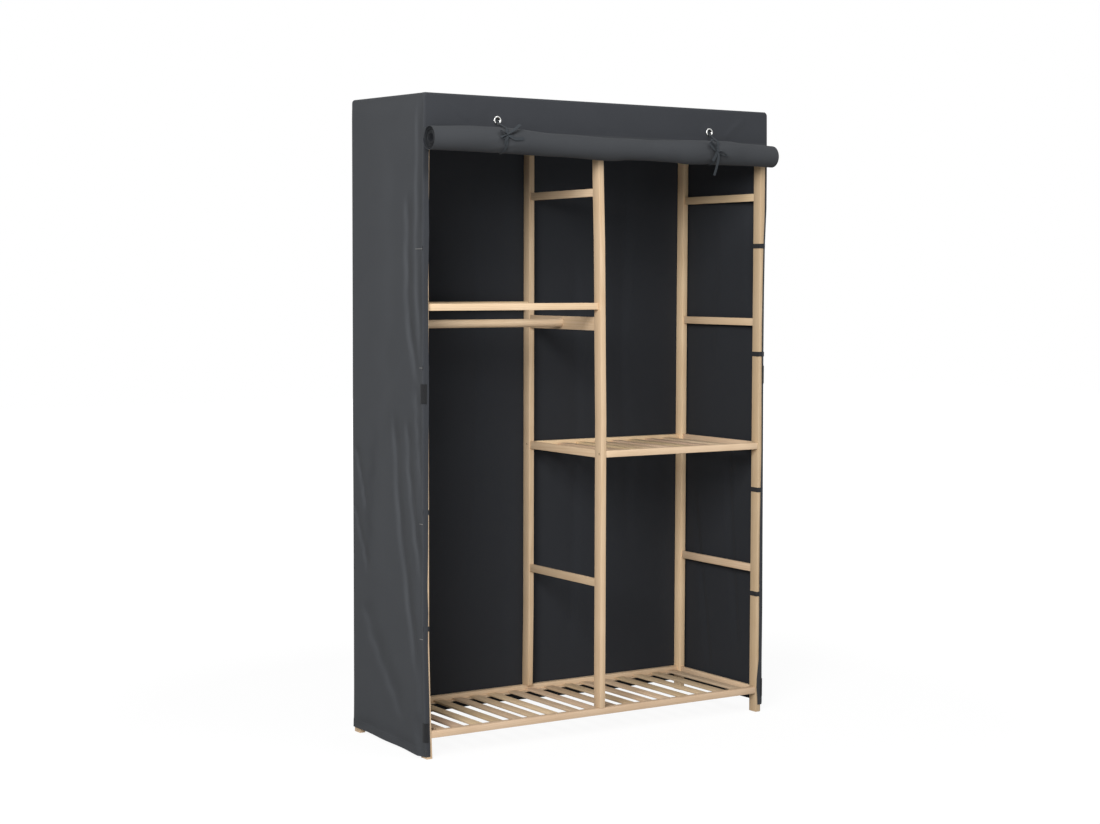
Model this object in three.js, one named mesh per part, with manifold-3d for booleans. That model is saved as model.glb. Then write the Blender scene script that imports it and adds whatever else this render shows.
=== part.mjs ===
// Portable fabric wardrobe: a slatted pine frame under a sewn cloth cover with a roll-up front.
// Lengths are millimetres. X is the width, -Y the front and +Z up.

import * as THREE from "three";
import { mergeVertices } from "three/addons/utils/BufferGeometryUtils.js";
import Module from "manifold-3d";

const wasm = await Module();
wasm.setup();

// Cloth cover
const coverWidth = 1100;
const coverDepth = 400;
const coverHeight = 1700;
const clothThickness = 1;
const seamGap = 0.3;
const coverEase = 1.2; // from the cloth to the timber at the sides, front and back
const topEase = 0.3;
const frontHemHeight = 7;
const rearHemHeight = 18;
const leftStripWidth = 13; // what the cover shows of itself in front of the left post
const rightStripWidth = 7;
const valanceDepth = 100;

// Pine frame
const postWidth = 17;
const postDepth = 30;
const timberChamfer = 1;
const jointGap = 0.2;
const leftBayShare = 0.5; // of the frame's width
const bottomRailHeight = 53.5; // of its underside
const lowRailHeight = 18;
const topRailHeight = 23;
const railThickness = 18;
const railInset = 1; // from the posts' front and rear faces
const railStand = 8; // of the top rails above the outer posts
const rungHeight = 21;
const rungThickness = 10;
const lowerRungShare = 0.2417; // rung heights are shares of the frame's height
const shelfShare = 0.4484;
const middleRungShare = 0.6546;
const upperRungShare = 0.8613;

// Clothes rail and the bars above it
const braceHeight = 36;
const braceThickness = 14;
const braceInset = 2; // from the post's face on the rod's side
const rodRadius = 11;
const crossbarSize = 18;
const crossbarRise = 47.5; // from the rod's centre to the crossbar's
const crossbarInset = 8;

// Slatted decks
const shelfRailHeight = 18;
const slatWidth = 29;
const slatThickness = 6;
const bottomSlatRecess = 9; // below the top of the rails
const shelfSlatRecess = 7.5;
const bottomSlatLead = 41; // from the left posts to the first slat
const bottomSlatLast = 7; // from the last slat to the right posts
const shelfSlatLead = 32;
const shelfSlatLast = 32;
const slatMargin = 1; // from the slats to the timbers round them, past the cleats' gap
const cleatDepth = 10;
const cleatRebate = 1; // how deep a slat is let into its cleat
// Where the slats lie, as shares of the way from the first to the last: they aren't evenly spaced.
const bottomSlatShares = [
  0, 0.058, 0.117, 0.18, 0.242, 0.3, 0.36, 0.428, 0.49, 0.554, 0.617, 0.679, 0.74, 0.805, 0.873, 0.937, 1,
];
const shelfSlatShares = [0, 0.143, 0.286, 0.429, 0.571, 0.714, 0.857, 1];

// Rolled-up front curtain
const rollTurns = 12;
const rollCoreRadius = 11; // of the innermost turn
const rollPitch = 1.58; // from turn to turn
const rollHang = 19; // from the valance's lower edge down to the roll's centre
const rollOverhangLeft = 8;
const rollInsetRight = 6;
const seamLap = 12; // of the curtain on the valance

// Ties, eyelets, straps and hook-and-loop patches
const eyeletShare = 0.31; // of the cover's width, either side of the middle
const eyeletRise = 38; // above the valance's lower edge
const eyeletBoreRadius = 5.5;
const eyeletBarrelWall = 1;
const eyeletFlangeRadius = 10;
const eyeletFlangeThickness = 0.8;
const tieWidth = 8;
const tieThickness = 1;
const tieGap = 0.6; // to the roll
const tieRestShare = 0.5; // of the bore's radius, from its centre down to where the tie lies in it
const knotWidth = 13;
const knotHeight = 11;
const knotDepth = 9;
const tailLength = 58;
const strapWidth = 13;
const strapThickness = 0.7;
const strapGap = 0.2;
const leftStrapShares = [0.77, 0.592, 0.375, 0.199]; // heights, of the cover's height
const rightStrapShares = [0.78, 0.601, 0.3745, 0.1995];
const patchWidth = 25;
const patchHeight = 50;
const patchThickness = 1.5;
const patchInset = 1; // from the side panel's front edge
const leftPatchShares = [0.553, 0.041]; // heights, of the cover's height
const rightPatchShares = [0.567, 0.041];

// Folds of the side panels
const foldSpread = 14; // from a fold's ridge to where it has nearly died out
const foldRise = 4;
const foldRamp = 40; // over which a fold dies out towards a sewn edge
const foldMargin = 4; // flat cloth round a patch
const hemRelease = 150; // over which a fold opens out below the top seam

// Each fold's spread and rise are shares of those two, and its run is shares of the depth, from the
// front, and of the height.
const leftFoldShares = [
  { spread: 1.2, rise: 1.1, run: [[0.14, 0.97], [0.15, 0.81], [0.22, 0.73], [0.24, 0.67], [0.1, 0.57]] },
  { spread: 0.9, rise: 0.8, run: [[0.09, 0.98], [0.1, 0.87], [0.12, 0.73], [0.11, 0.66], [0.07, 0.6]] },
  { spread: 1, rise: 1, run: [[0.47, 0.5], [0.41, 0.38], [0.33, 0.28], [0.22, 0.19], [0.15, 0.14]] },
  { spread: 0.9, rise: 0.9, run: [[0.28, 0.49], [0.24, 0.39], [0.16, 0.31], [0.1, 0.26]] },
  { spread: 0.9, rise: 0.8, run: [[0.93, 0.44], [0.84, 0.36]] },
  { spread: 0.9, rise: 0.8, run: [[0.92, 0.34], [0.81, 0.26]] },
  { spread: 1.4, rise: 1.1, run: [[0.82, 0.2], [0.62, 0.13], [0.4, 0.06]] },
];
const rightFoldShares = [
  { spread: 1.2, rise: 0.8, run: [[0.18, 0.95], [0.2, 0.7], [0.15, 0.58]] },
  { spread: 1.3, rise: 0.9, run: [[0.45, 0.46], [0.38, 0.25], [0.3, 0.08]] },
  { spread: 1.3, rise: 0.8, run: [[0.8, 0.3], [0.7, 0.14], [0.62, 0.04]] },
];

// Where a tie's loose ends lie, from the knot outwards: shares of the tail length to the right and up.
const leftTailShares = [
  [[0, 0], [0.45, 0.12], [0.8, 0.3], [1, 0.43]],
  [[0, 0], [0.4, -0.2], [0.75, -0.24], [0.96, -0.18]],
  [[0, 0], [0.06, -0.25], [0.02, -0.45], [0.12, -0.6]],
];
const rightTailShares = [
  [[0, 0], [-0.02, -0.3], [-0.1, -0.6], [-0.08, -0.8]],
  [[0, 0], [0.25, 0.06], [0.5, -0.06], [0.78, -0.2]],
];

// Fineness of the curved pieces
const rodSides = 24;
const eyeletSides = 24;
const stepsPerTurn = 24;
const tieSteps = 36;
const tailSteps = 8;
const knotSides = 12;
const panelColumns = 22;
const panelRows = 18;

// Outlines that several pieces share
const halfWidth = coverWidth / 2;
const halfDepth = coverDepth / 2;
const frameHalfWidth = halfWidth - clothThickness - coverEase;
const frameHalfDepth = halfDepth - clothThickness - coverEase;
const frameTop = coverHeight - clothThickness - topEase;
const postInnerX = frameHalfWidth - postWidth;
const postInnerY = frameHalfDepth - postDepth;
const middleX = (2 * leftBayShare - 1) * frameHalfWidth;
const bottomRailTop = bottomRailHeight + lowRailHeight;
const topRailBottom = frameTop - topRailHeight;
const middlePostBottom = bottomRailTop + jointGap;
const middlePostTop = topRailBottom - jointGap;
const lowerRungZ = lowerRungShare * frameTop;
const shelfZ = shelfShare * frameTop;
const middleRungZ = middleRungShare * frameTop;
const upperRungZ = upperRungShare * frameTop;
const bottomRungZ = bottomRailHeight + lowRailHeight / 2;
const valanceBottom = coverHeight - valanceDepth;
const valanceHalfWidth = halfWidth - clothThickness - seamGap;
const panelTop = coverHeight - clothThickness - seamGap;
const rollRadius = rollCoreRadius + rollTurns * rollPitch + clothThickness / 2;
const rollZ = valanceBottom - rollHang;
const rollY = -halfDepth - seamGap - rollRadius;
const rollLeft = -halfWidth - rollOverhangLeft;
const rollRight = halfWidth - rollInsetRight;
const eyeletX = eyeletShare * coverWidth;
const eyeletZ = valanceBottom + eyeletRise;

const pine = { color: "#e2c196", roughness: 0.6, metalness: 0 };
const cover = { color: "#45474a", roughness: 0.92, metalness: 0 };
const ribbon = { color: "#35363a", roughness: 0.85, metalness: 0 };
const elastic = { color: "#1d1e20", roughness: 0.9, metalness: 0 };
const steel = { color: "#c8c8c6", roughness: 0.28, metalness: 1 };

const wardrobe = new THREE.Group();

function addPiece(name, geometry, finish) {
  const mesh = new THREE.Mesh(geometry, new THREE.MeshStandardMaterial(finish));
  mesh.name = name;
  wardrobe.add(mesh);
}

function toSolid(geometry) {
  const bare = new THREE.BufferGeometry();
  bare.setAttribute("position", geometry.getAttribute("position"));
  bare.setIndex(geometry.getIndex());
  const merged = mergeVertices(bare);
  const vertProperties = new Float32Array(merged.getAttribute("position").array);
  const triVerts = new Uint32Array(merged.getIndex().array);
  return new wasm.Manifold(new wasm.Mesh({ numProp: 3, vertProperties, triVerts }));
}

function fromSolid(solid) {
  const mesh = solid.getMesh();
  const geometry = new THREE.BufferGeometry();
  geometry.setAttribute("position", new THREE.BufferAttribute(new Float32Array(mesh.vertProperties), 3));
  geometry.setIndex(new THREE.BufferAttribute(new Uint32Array(mesh.triVerts), 1));
  geometry.computeVertexNormals();
  return geometry;
}

// Several overlapping geometries joined to one body.
function joined(geometries) {
  const solids = geometries.map(toSolid);
  return fromSolid(solids.reduce((whole, solid) => whole.add(solid)));
}

// A geometry with an index of triangles over a list of points.
function faceted(points, triangles) {
  const geometry = new THREE.BufferGeometry();
  geometry.setFromPoints(points);
  geometry.setIndex(triangles);
  geometry.computeVertexNormals();
  return geometry;
}

function block(low, high) {
  const size = high.clone().sub(low);
  const geometry = new THREE.BoxGeometry(size.x, size.y, size.z);
  const middle = low.clone().lerp(high, 0.5);
  return geometry.translate(middle.x, middle.y, middle.z);
}

function chamferedRectangle(width, height) {
  const x = width / 2;
  const y = height / 2;
  const c = timberChamfer;
  const lower = [[-x, c - y], [c - x, -y], [x - c, -y], [x, c - y]];
  const upper = [[x, y - c], [x - c, y], [c - x, y], [-x, y - c]];
  return new THREE.Shape([...lower, ...upper].map(([across, up]) => new THREE.Vector2(across, up)));
}

// A squared timber that fills a box, its four long edges chamfered.
function timber(low, high, along) {
  const size = high.clone().sub(low);
  const sections = { x: [size.z, size.y], y: [size.x, size.z], z: [size.x, size.y] };
  const outline = chamferedRectangle(...sections[along]);
  const geometry = new THREE.ExtrudeGeometry(outline, { depth: size[along], bevelEnabled: false });
  geometry.translate(0, 0, -size[along] / 2);
  if (along === "x") {
    geometry.rotateY(Math.PI / 2);
  }
  if (along === "y") {
    geometry.rotateX(-Math.PI / 2);
  }
  const middle = low.clone().lerp(high, 0.5);
  return geometry.translate(middle.x, middle.y, middle.z);
}

// Cloth as a closed body: a grid of points on its outer face, another on its inner one, and its edges.
// Both are functions of shares from 0 to 1 across and along the cloth.
function cloth(columns, rows, outerAt, innerAt) {
  const points = [];
  for (const faceAt of [outerAt, innerAt]) {
    for (let row = 0; row <= rows; row += 1) {
      for (let column = 0; column <= columns; column += 1) {
        points.push(faceAt(column / columns, row / rows));
      }
    }
  }
  const stride = columns + 1;
  const inner = stride * (rows + 1);
  const triangles = [];
  const quad = (a, b, c, d) => triangles.push(a, b, c, a, c, d);
  for (let row = 0; row < rows; row += 1) {
    for (let column = 0; column < columns; column += 1) {
      const a = row * stride + column;
      quad(a, a + 1, a + 1 + stride, a + stride);
      quad(inner + a, inner + a + stride, inner + a + 1 + stride, inner + a + 1);
    }
  }
  for (let column = 0; column < columns; column += 1) {
    const last = rows * stride + column;
    quad(column, inner + column, inner + column + 1, column + 1);
    quad(last, last + 1, inner + last + 1, inner + last);
  }
  for (let row = 0; row < rows; row += 1) {
    const first = row * stride;
    const last = first + columns;
    quad(first, first + stride, inner + first + stride, inner + first);
    quad(last, inner + last, inner + last + stride, last + stride);
  }
  return faceted(points, triangles);
}

// Posts, rails and rungs

const outerPostTop = frameTop - railStand;
const ladders = [
  { side: "left", x: -frameHalfWidth + postWidth / 2, low: 0, high: outerPostTop },
  { side: "middle", x: middleX, low: middlePostBottom, high: middlePostTop },
  { side: "right", x: frameHalfWidth - postWidth / 2, low: 0, high: outerPostTop },
];

function makePosts() {
  for (const { side, x, low, high } of ladders) {
    for (const [end, front] of [["front", -frameHalfDepth], ["rear", postInnerY]]) {
      const from = new THREE.Vector3(x - postWidth / 2, front, low);
      const to = new THREE.Vector3(x + postWidth / 2, front + postDepth, high);
      addPiece(`${side}_${end}_post`, timber(from, to, "z"), pine);
    }
  }
}

// A pair of rails, flush with the posts' front and rear faces but for an inset.
function makeRailPair(name, [left, right], [low, high], thickness, inset) {
  const outer = frameHalfDepth - inset;
  for (const [end, front] of [["front", -outer], ["rear", outer - thickness]]) {
    const from = new THREE.Vector3(left + jointGap, front, low);
    const to = new THREE.Vector3(right - jointGap, front + thickness, high);
    addPiece(name.replace("END", end), timber(from, to, "x"), pine);
  }
}

function makeRails() {
  const bay = [-postInnerX, postInnerX];
  makeRailPair("bottom_END_rail", bay, [bottomRailHeight, bottomRailTop], railThickness, railInset);
  makeRailPair("top_END_rail", bay, [topRailBottom, frameTop], railThickness, railInset);
}

function makeRung(name, x, z, thickness, height) {
  const from = new THREE.Vector3(x - thickness / 2, jointGap - postInnerY, z - height / 2);
  const to = new THREE.Vector3(x + thickness / 2, postInnerY - jointGap, z + height / 2);
  addPiece(name, timber(from, to, "y"), pine);
}

function makeRungs() {
  for (const { side, x, low, high } of ladders) {
    const heights = { top: high - rungHeight / 2, upper: upperRungZ, shelf: shelfZ, lower: lowerRungZ };
    if (side === "right") {
      heights.middle = middleRungZ;
    }
    if (side !== "middle") {
      heights.bottom = bottomRungZ;
    }
    for (const [place, z] of Object.entries(heights)) {
      const height = place === "bottom" ? lowRailHeight : rungHeight;
      makeRung(`${side}_${place}_rung`, x, z, rungThickness, height);
    }
  }
}

// The hanging bay: two braces carry the rod, and two crossbars lie above it.

// Each brace's face on the rod's side
const leftBraceFace = -postInnerX - braceInset;
const middleBraceFace = middleX - postWidth / 2 + braceInset;

function makeHangingBay() {
  const leftX = leftBraceFace - braceThickness / 2;
  const rightX = middleBraceFace + braceThickness / 2;
  makeRung("left_rod_brace", leftX, middleRungZ, braceThickness, braceHeight);
  makeRung("middle_rod_brace", rightX, middleRungZ, braceThickness, braceHeight);
  const rodStart = leftBraceFace + jointGap;
  const rodEnd = middleBraceFace - jointGap;
  const rod = new THREE.CylinderGeometry(rodRadius, rodRadius, rodEnd - rodStart, rodSides);
  rod.rotateZ(Math.PI / 2);
  rod.translate((rodStart + rodEnd) / 2, 0, middleRungZ);
  addPiece("hanging_rod", rod, pine);
  const crossbarZ = middleRungZ + crossbarRise;
  const heights = [crossbarZ - crossbarSize / 2, crossbarZ + crossbarSize / 2];
  const bay = [-postInnerX, middleX - postWidth / 2];
  makeRailPair("left_END_crossbar", bay, heights, crossbarSize, crossbarInset);
}

// Slatted decks

// A row of slats let into two cleats, which lie along the inner faces of the rails. Each slat's place is
// a share of the way from the first to the last.
function slatDeck([left, right], [railBottom, slatTop], [lead, last], shares) {
  const reach = frameHalfDepth - railInset - railThickness - jointGap;
  const slatBottom = slatTop - slatThickness;
  const pieces = [];
  for (const [front, rear] of [[-reach, cleatDepth - reach], [reach - cleatDepth, reach]]) {
    const from = new THREE.Vector3(left + jointGap, front, railBottom);
    pieces.push(block(from, new THREE.Vector3(right - jointGap, rear, slatBottom + cleatRebate)));
  }
  const slatReach = reach - slatMargin;
  const run = right - last - slatWidth - left - lead;
  for (const share of shares) {
    const x = left + lead + share * run;
    const from = new THREE.Vector3(x, -slatReach, slatBottom);
    pieces.push(block(from, new THREE.Vector3(x + slatWidth, slatReach, slatTop)));
  }
  return joined(pieces);
}

function makeDecks() {
  const wholeWidth = [-postInnerX, postInnerX];
  const rightBay = [middleX + postWidth / 2, postInnerX];
  const shelfBottom = shelfZ - shelfRailHeight / 2;
  const shelfTop = shelfZ + shelfRailHeight / 2;
  makeRailPair("shelf_END_rail", rightBay, [shelfBottom, shelfTop], railThickness, railInset);
  const bottomHeights = [bottomRailHeight, bottomRailTop - bottomSlatRecess];
  const bottomEnds = [bottomSlatLead, bottomSlatLast];
  addPiece("bottom_slat_deck", slatDeck(wholeWidth, bottomHeights, bottomEnds, bottomSlatShares), pine);
  const shelfHeights = [shelfBottom, shelfTop - shelfSlatRecess];
  const shelfEnds = [shelfSlatLead, shelfSlatLast];
  addPiece("shelf_slat_deck", slatDeck(rightBay, shelfHeights, shelfEnds, shelfSlatShares), pine);
}

// Cover panels

function hemHeight(share) {
  return THREE.MathUtils.lerp(frontHemHeight, rearHemHeight, share);
}

function distanceToRun(place, run) {
  const distances = run.slice(1).map((end, index) => {
    const segment = new THREE.Line3(run[index], end);
    return segment.closestPointToPoint(place, true, new THREE.Vector3()).distanceTo(place);
  });
  return Math.min(...distances);
}

// How far a side panel's folds stand out, at a distance behind its front edge and a height.
function panelRise(foldShares, behind, z) {
  const place = new THREE.Vector3(behind, z, 0);
  let rise = 0;
  for (const fold of foldShares) {
    const run = fold.run.map(([back, up]) => new THREE.Vector3(back * coverDepth, up * coverHeight, 0));
    const away = distanceToRun(place, run) / (fold.spread * foldSpread);
    rise += fold.rise * foldRise * Math.exp(-(away ** 2));
  }
  const flatEdge = patchInset + patchWidth + foldMargin;
  const front = THREE.MathUtils.smoothstep(behind, flatEdge, flatEdge + foldRamp);
  const rear = THREE.MathUtils.smoothstep(coverDepth - behind, 0, foldRamp);
  const top = THREE.MathUtils.smoothstep(panelTop - z, 0, hemRelease);
  return rise * front * rear * top;
}

// A side panel from its front edge to its rear one. Side is -1 on the left and 1 on the right.
function sidePanel(side, foldShares) {
  const placeAt = (across, up, inset) => {
    const share = side < 0 ? 1 - across : across;
    const z = THREE.MathUtils.lerp(hemHeight(share), panelTop, up);
    const rise = panelRise(foldShares, share * coverDepth, z);
    return new THREE.Vector3(side * (halfWidth + rise - inset), share * coverDepth - halfDepth, z);
  };
  const outerAt = (across, up) => placeAt(across, up, 0);
  const innerAt = (across, up) => placeAt(across, up, clothThickness);
  return cloth(panelColumns, panelRows, outerAt, innerAt);
}

// The strip of valance cloth above the roll, with a hole for each eyelet.
function valance() {
  const outline = new THREE.Shape();
  outline.moveTo(-valanceHalfWidth, valanceBottom);
  outline.lineTo(valanceHalfWidth, valanceBottom);
  outline.lineTo(valanceHalfWidth, panelTop);
  outline.lineTo(-valanceHalfWidth, panelTop);
  for (const x of [-eyeletX, eyeletX]) {
    const hole = new THREE.Path();
    hole.absarc(x, eyeletZ, eyeletBoreRadius + eyeletBarrelWall + seamGap, 0, 2 * Math.PI, true);
    outline.holes.push(hole);
  }
  const geometry = new THREE.ExtrudeGeometry(outline, { depth: clothThickness, bevelEnabled: false });
  geometry.rotateX(Math.PI / 2);
  return geometry.translate(0, clothThickness - halfDepth, 0);
}

function makeCover() {
  const topLow = new THREE.Vector3(-halfWidth, -halfDepth, coverHeight - clothThickness);
  addPiece("top_panel", block(topLow, new THREE.Vector3(halfWidth, halfDepth, coverHeight)), cover);
  addPiece("left_side_panel", sidePanel(-1, leftFoldShares), cover);
  addPiece("right_side_panel", sidePanel(1, rightFoldShares), cover);
  const backLow = new THREE.Vector3(-valanceHalfWidth, halfDepth - clothThickness, rearHemHeight);
  addPiece("back_panel", block(backLow, new THREE.Vector3(valanceHalfWidth, halfDepth, panelTop)), cover);
  addPiece("front_valance", valance(), cover);
  const stripTop = valanceBottom - seamGap;
  for (const [side, left, right] of [
    ["left", -valanceHalfWidth, leftStripWidth - halfWidth],
    ["right", halfWidth - rightStripWidth, valanceHalfWidth],
  ]) {
    const from = new THREE.Vector3(left, -halfDepth, frontHemHeight);
    const to = new THREE.Vector3(right, clothThickness - halfDepth, stripTop);
    addPiece(`${side}_front_strip`, block(from, to), cover);
  }
}

// The curtain: a short flat drop sewn to the valance, then the rest of it rolled up.

// The middle of the rolled cloth after a share of its turns. The last turn ends at the back of the roll,
// where the cloth goes straight up into the drop.
function rollPlace(share, offset) {
  const angle = (share - 1) * rollTurns * 2 * Math.PI;
  const radius = rollCoreRadius + share * rollTurns * rollPitch + offset;
  return new THREE.Vector2(rollY + radius * Math.cos(angle), rollZ + radius * Math.sin(angle));
}

function curtainRoll() {
  const faceAt = (offset) => (along, across) => {
    const place = rollPlace(along, offset);
    return new THREE.Vector3(THREE.MathUtils.lerp(rollLeft, rollRight, across), place.x, place.y);
  };
  return cloth(rollTurns * stepsPerTurn, 1, faceAt(clothThickness / 2), faceAt(-clothThickness / 2));
}

// The least gap between neighbouring turns of the roll, measured on its own points.
function leastRollGap() {
  const steps = rollTurns * stepsPerTurn;
  let least = rollRadius;
  for (let step = 0; step + stepsPerTurn < steps; step += 1) {
    const start = rollPlace(step / steps, clothThickness / 2);
    const end = rollPlace((step + 1) / steps, clothThickness / 2);
    const next = rollPlace((step + stepsPerTurn) / steps, -clothThickness / 2);
    const after = rollPlace((step + stepsPerTurn + 1) / steps, -clothThickness / 2);
    const facing = next.clone().lerp(after, 0.5);
    const edge = end.clone().sub(start).normalize();
    least = Math.min(least, start.distanceTo(next), Math.abs(facing.clone().sub(start).cross(edge)));
  }
  return least;
}

function makeCurtain() {
  const dropFront = -halfDepth - seamGap - clothThickness;
  const from = new THREE.Vector3(rollLeft, dropFront, rollZ + seamGap);
  const to = new THREE.Vector3(rollRight, dropFront + clothThickness, valanceBottom + seamLap);
  addPiece("curtain_drop", block(from, to), cover);
  addPiece("curtain_roll", curtainRoll(), cover);
}

// Eyelets and ties

const eyeletHalfSpan = clothThickness / 2 + seamGap; // from the valance's mid plane to a flange
const eyeletReach = eyeletHalfSpan + eyeletFlangeThickness;

function eyelet(x) {
  const barrelRadius = eyeletBoreRadius + eyeletBarrelWall;
  const profile = [
    [eyeletBoreRadius, -eyeletReach],
    [eyeletFlangeRadius, -eyeletReach],
    [eyeletFlangeRadius, -eyeletHalfSpan],
    [barrelRadius, -eyeletHalfSpan],
    [barrelRadius, eyeletHalfSpan],
    [eyeletFlangeRadius, eyeletHalfSpan],
    [eyeletFlangeRadius, eyeletReach],
    [eyeletBoreRadius, eyeletReach],
    [eyeletBoreRadius, -eyeletReach],
  ];
  const outline = profile.map(([radius, along]) => new THREE.Vector2(radius, along));
  const geometry = new THREE.LatheGeometry(outline, eyeletSides);
  return geometry.translate(x, clothThickness / 2 - halfDepth, eyeletZ);
}

// A tie's way round, in Y and Z: through the eyelet, down over the roll, under it and up behind the cloth.
function tiePath() {
  const radius = rollRadius + tieGap + tieThickness / 2;
  const valanceMiddle = clothThickness / 2 - halfDepth;
  const boreZ = eyeletZ - tieRestShare * eyeletBoreRadius;
  const front = new THREE.Vector2(valanceMiddle - eyeletReach - tieThickness, boreZ);
  const backY = valanceMiddle + eyeletReach + seamGap + tieThickness / 2;
  const toEyelet = new THREE.Vector2(front.x - rollY, front.y - rollZ);
  const touch = Math.atan2(toEyelet.y, toEyelet.x) + Math.acos(radius / toEyelet.length());
  const path = [front];
  for (let step = 0; step <= tieSteps; step += 1) {
    const angle = THREE.MathUtils.lerp(touch, 2 * Math.PI, step / tieSteps);
    const reach = Math.cos(angle) > 0 ? backY - rollY : radius;
    path.push(new THREE.Vector2(rollY + reach * Math.cos(angle), rollZ + radius * Math.sin(angle)));
  }
  path.push(new THREE.Vector2(backY, valanceBottom));
  path.push(new THREE.Vector2(backY, boreZ));
  return path;
}

// A flat ribbon round a closed path in Y and Z.
function ribbonLoop(x, path) {
  const points = [];
  path.forEach((place, index) => {
    const before = path[(index + path.length - 1) % path.length];
    const after = path[(index + 1) % path.length];
    const out = new THREE.Vector2(after.y - before.y, before.x - after.x).normalize();
    for (const [across, away] of [[-1, -1], [1, -1], [1, 1], [-1, 1]]) {
      const middle = place.clone().addScaledVector(out, (away * tieThickness) / 2);
      points.push(new THREE.Vector3(x + (across * tieWidth) / 2, middle.x, middle.y));
    }
  });
  const triangles = [];
  for (let ring = 0; ring < path.length; ring += 1) {
    const next = ((ring + 1) % path.length) * 4;
    for (let corner = 0; corner < 4; corner += 1) {
      const turn = (corner + 1) % 4;
      const [a, b, c, d] = [ring * 4 + corner, ring * 4 + turn, next + turn, next + corner];
      triangles.push(a, b, c, a, c, d);
    }
  }
  return faceted(points, triangles);
}

// A flat ribbon end that lies in front of the roll, through places to the right and up from the knot.
function ribbonTail(knot, shares) {
  const places = shares.map(([right, up]) => {
    return new THREE.Vector3(right, 0, up).multiplyScalar(tailLength).add(knot);
  });
  const outline = new THREE.Shape();
  outline.moveTo(-tieThickness / 2, -tieWidth / 2);
  outline.lineTo(tieThickness / 2, -tieWidth / 2);
  outline.lineTo(tieThickness / 2, tieWidth / 2);
  outline.lineTo(-tieThickness / 2, tieWidth / 2);
  const extrudePath = new THREE.CatmullRomCurve3(places);
  return new THREE.ExtrudeGeometry(outline, { steps: tailSteps, extrudePath, bevelEnabled: false });
}

function tie(x, tailShares) {
  const pieces = [ribbonLoop(x, tiePath())];
  const knot = new THREE.Vector3(x, rollY - rollRadius - tieGap - knotDepth / 2, rollZ);
  const ball = new THREE.SphereGeometry(1, knotSides, knotSides / 2);
  ball.scale(knotWidth / 2, knotDepth / 2, knotHeight / 2);
  pieces.push(ball.translate(knot.x, knot.y, knot.z));
  pieces.push(...tailShares.map((shares) => ribbonTail(knot, shares)));
  return joined(pieces);
}

function makeTies() {
  addPiece("left_eyelet", eyelet(-eyeletX), steel);
  addPiece("right_eyelet", eyelet(eyeletX), steel);
  addPiece("left_tie", tie(-eyeletX, leftTailShares), ribbon);
  addPiece("right_tie", tie(eyeletX, rightTailShares), ribbon);
}

// Elastic straps sewn to the side panels, each round three faces of a front post.
function strap(side, z) {
  const inner = postInnerX - strapGap;
  const front = -frameHalfDepth - strapGap;
  const rear = strapGap - postInnerY;
  const sewn = halfWidth - clothThickness - seamGap;
  const corners = [
    [sewn, front - strapThickness],
    [sewn, front],
    [inner, front],
    [inner, rear],
    [sewn, rear],
    [sewn, rear + strapThickness],
    [inner - strapThickness, rear + strapThickness],
    [inner - strapThickness, front - strapThickness],
  ];
  const outline = new THREE.Shape(corners.map(([x, y]) => new THREE.Vector2(side * x, y)));
  const geometry = new THREE.ExtrudeGeometry(outline, { depth: strapWidth, bevelEnabled: false });
  return geometry.translate(0, 0, z - strapWidth / 2);
}

function patch(side, z) {
  const near = halfWidth + seamGap;
  const outer = near + patchThickness;
  const front = patchInset - halfDepth;
  const [left, right] = [side * near, side * outer].sort((a, b) => a - b);
  const low = new THREE.Vector3(left, front, z - patchHeight / 2);
  return block(low, new THREE.Vector3(right, front + patchWidth, z + patchHeight / 2));
}

function makeFastenings() {
  for (const [name, side, strapShares, patchShares] of [
    ["left", -1, leftStrapShares, leftPatchShares],
    ["right", 1, rightStrapShares, rightPatchShares],
  ]) {
    strapShares.forEach((share, index) => {
      addPiece(`${name}_strap_${index + 1}`, strap(side, share * coverHeight), elastic);
    });
    addPiece(`${name}_upper_patch`, patch(side, patchShares[0] * coverHeight), elastic);
    addPiece(`${name}_lower_patch`, patch(side, patchShares[1] * coverHeight), elastic);
  }
}

makePosts();
makeRails();
makeRungs();
makeHangingBay();
makeDecks();
makeCover();
makeCurtain();
makeTies();
makeFastenings();

// The origin is on the floor, below the middle of everything.
const bounds = new THREE.Box3().setFromObject(wardrobe);
const middle = bounds.getCenter(new THREE.Vector3());
wardrobe.position.set(-middle.x, -middle.y, -bounds.min.z);

const woundLength = 2 * Math.PI * rollTurns * (rollCoreRadius + (rollTurns * rollPitch) / 2);
console.log(`curtain roll: least gap between its turns ${leastRollGap().toFixed(3)} mm`);
console.log(`curtain roll: length of its cloth ${woundLength.toFixed(0)} mm`);

export default wardrobe;
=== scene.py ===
import math
import random

import bpy
import numpy as np
from mathutils import Matrix, Vector


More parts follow.
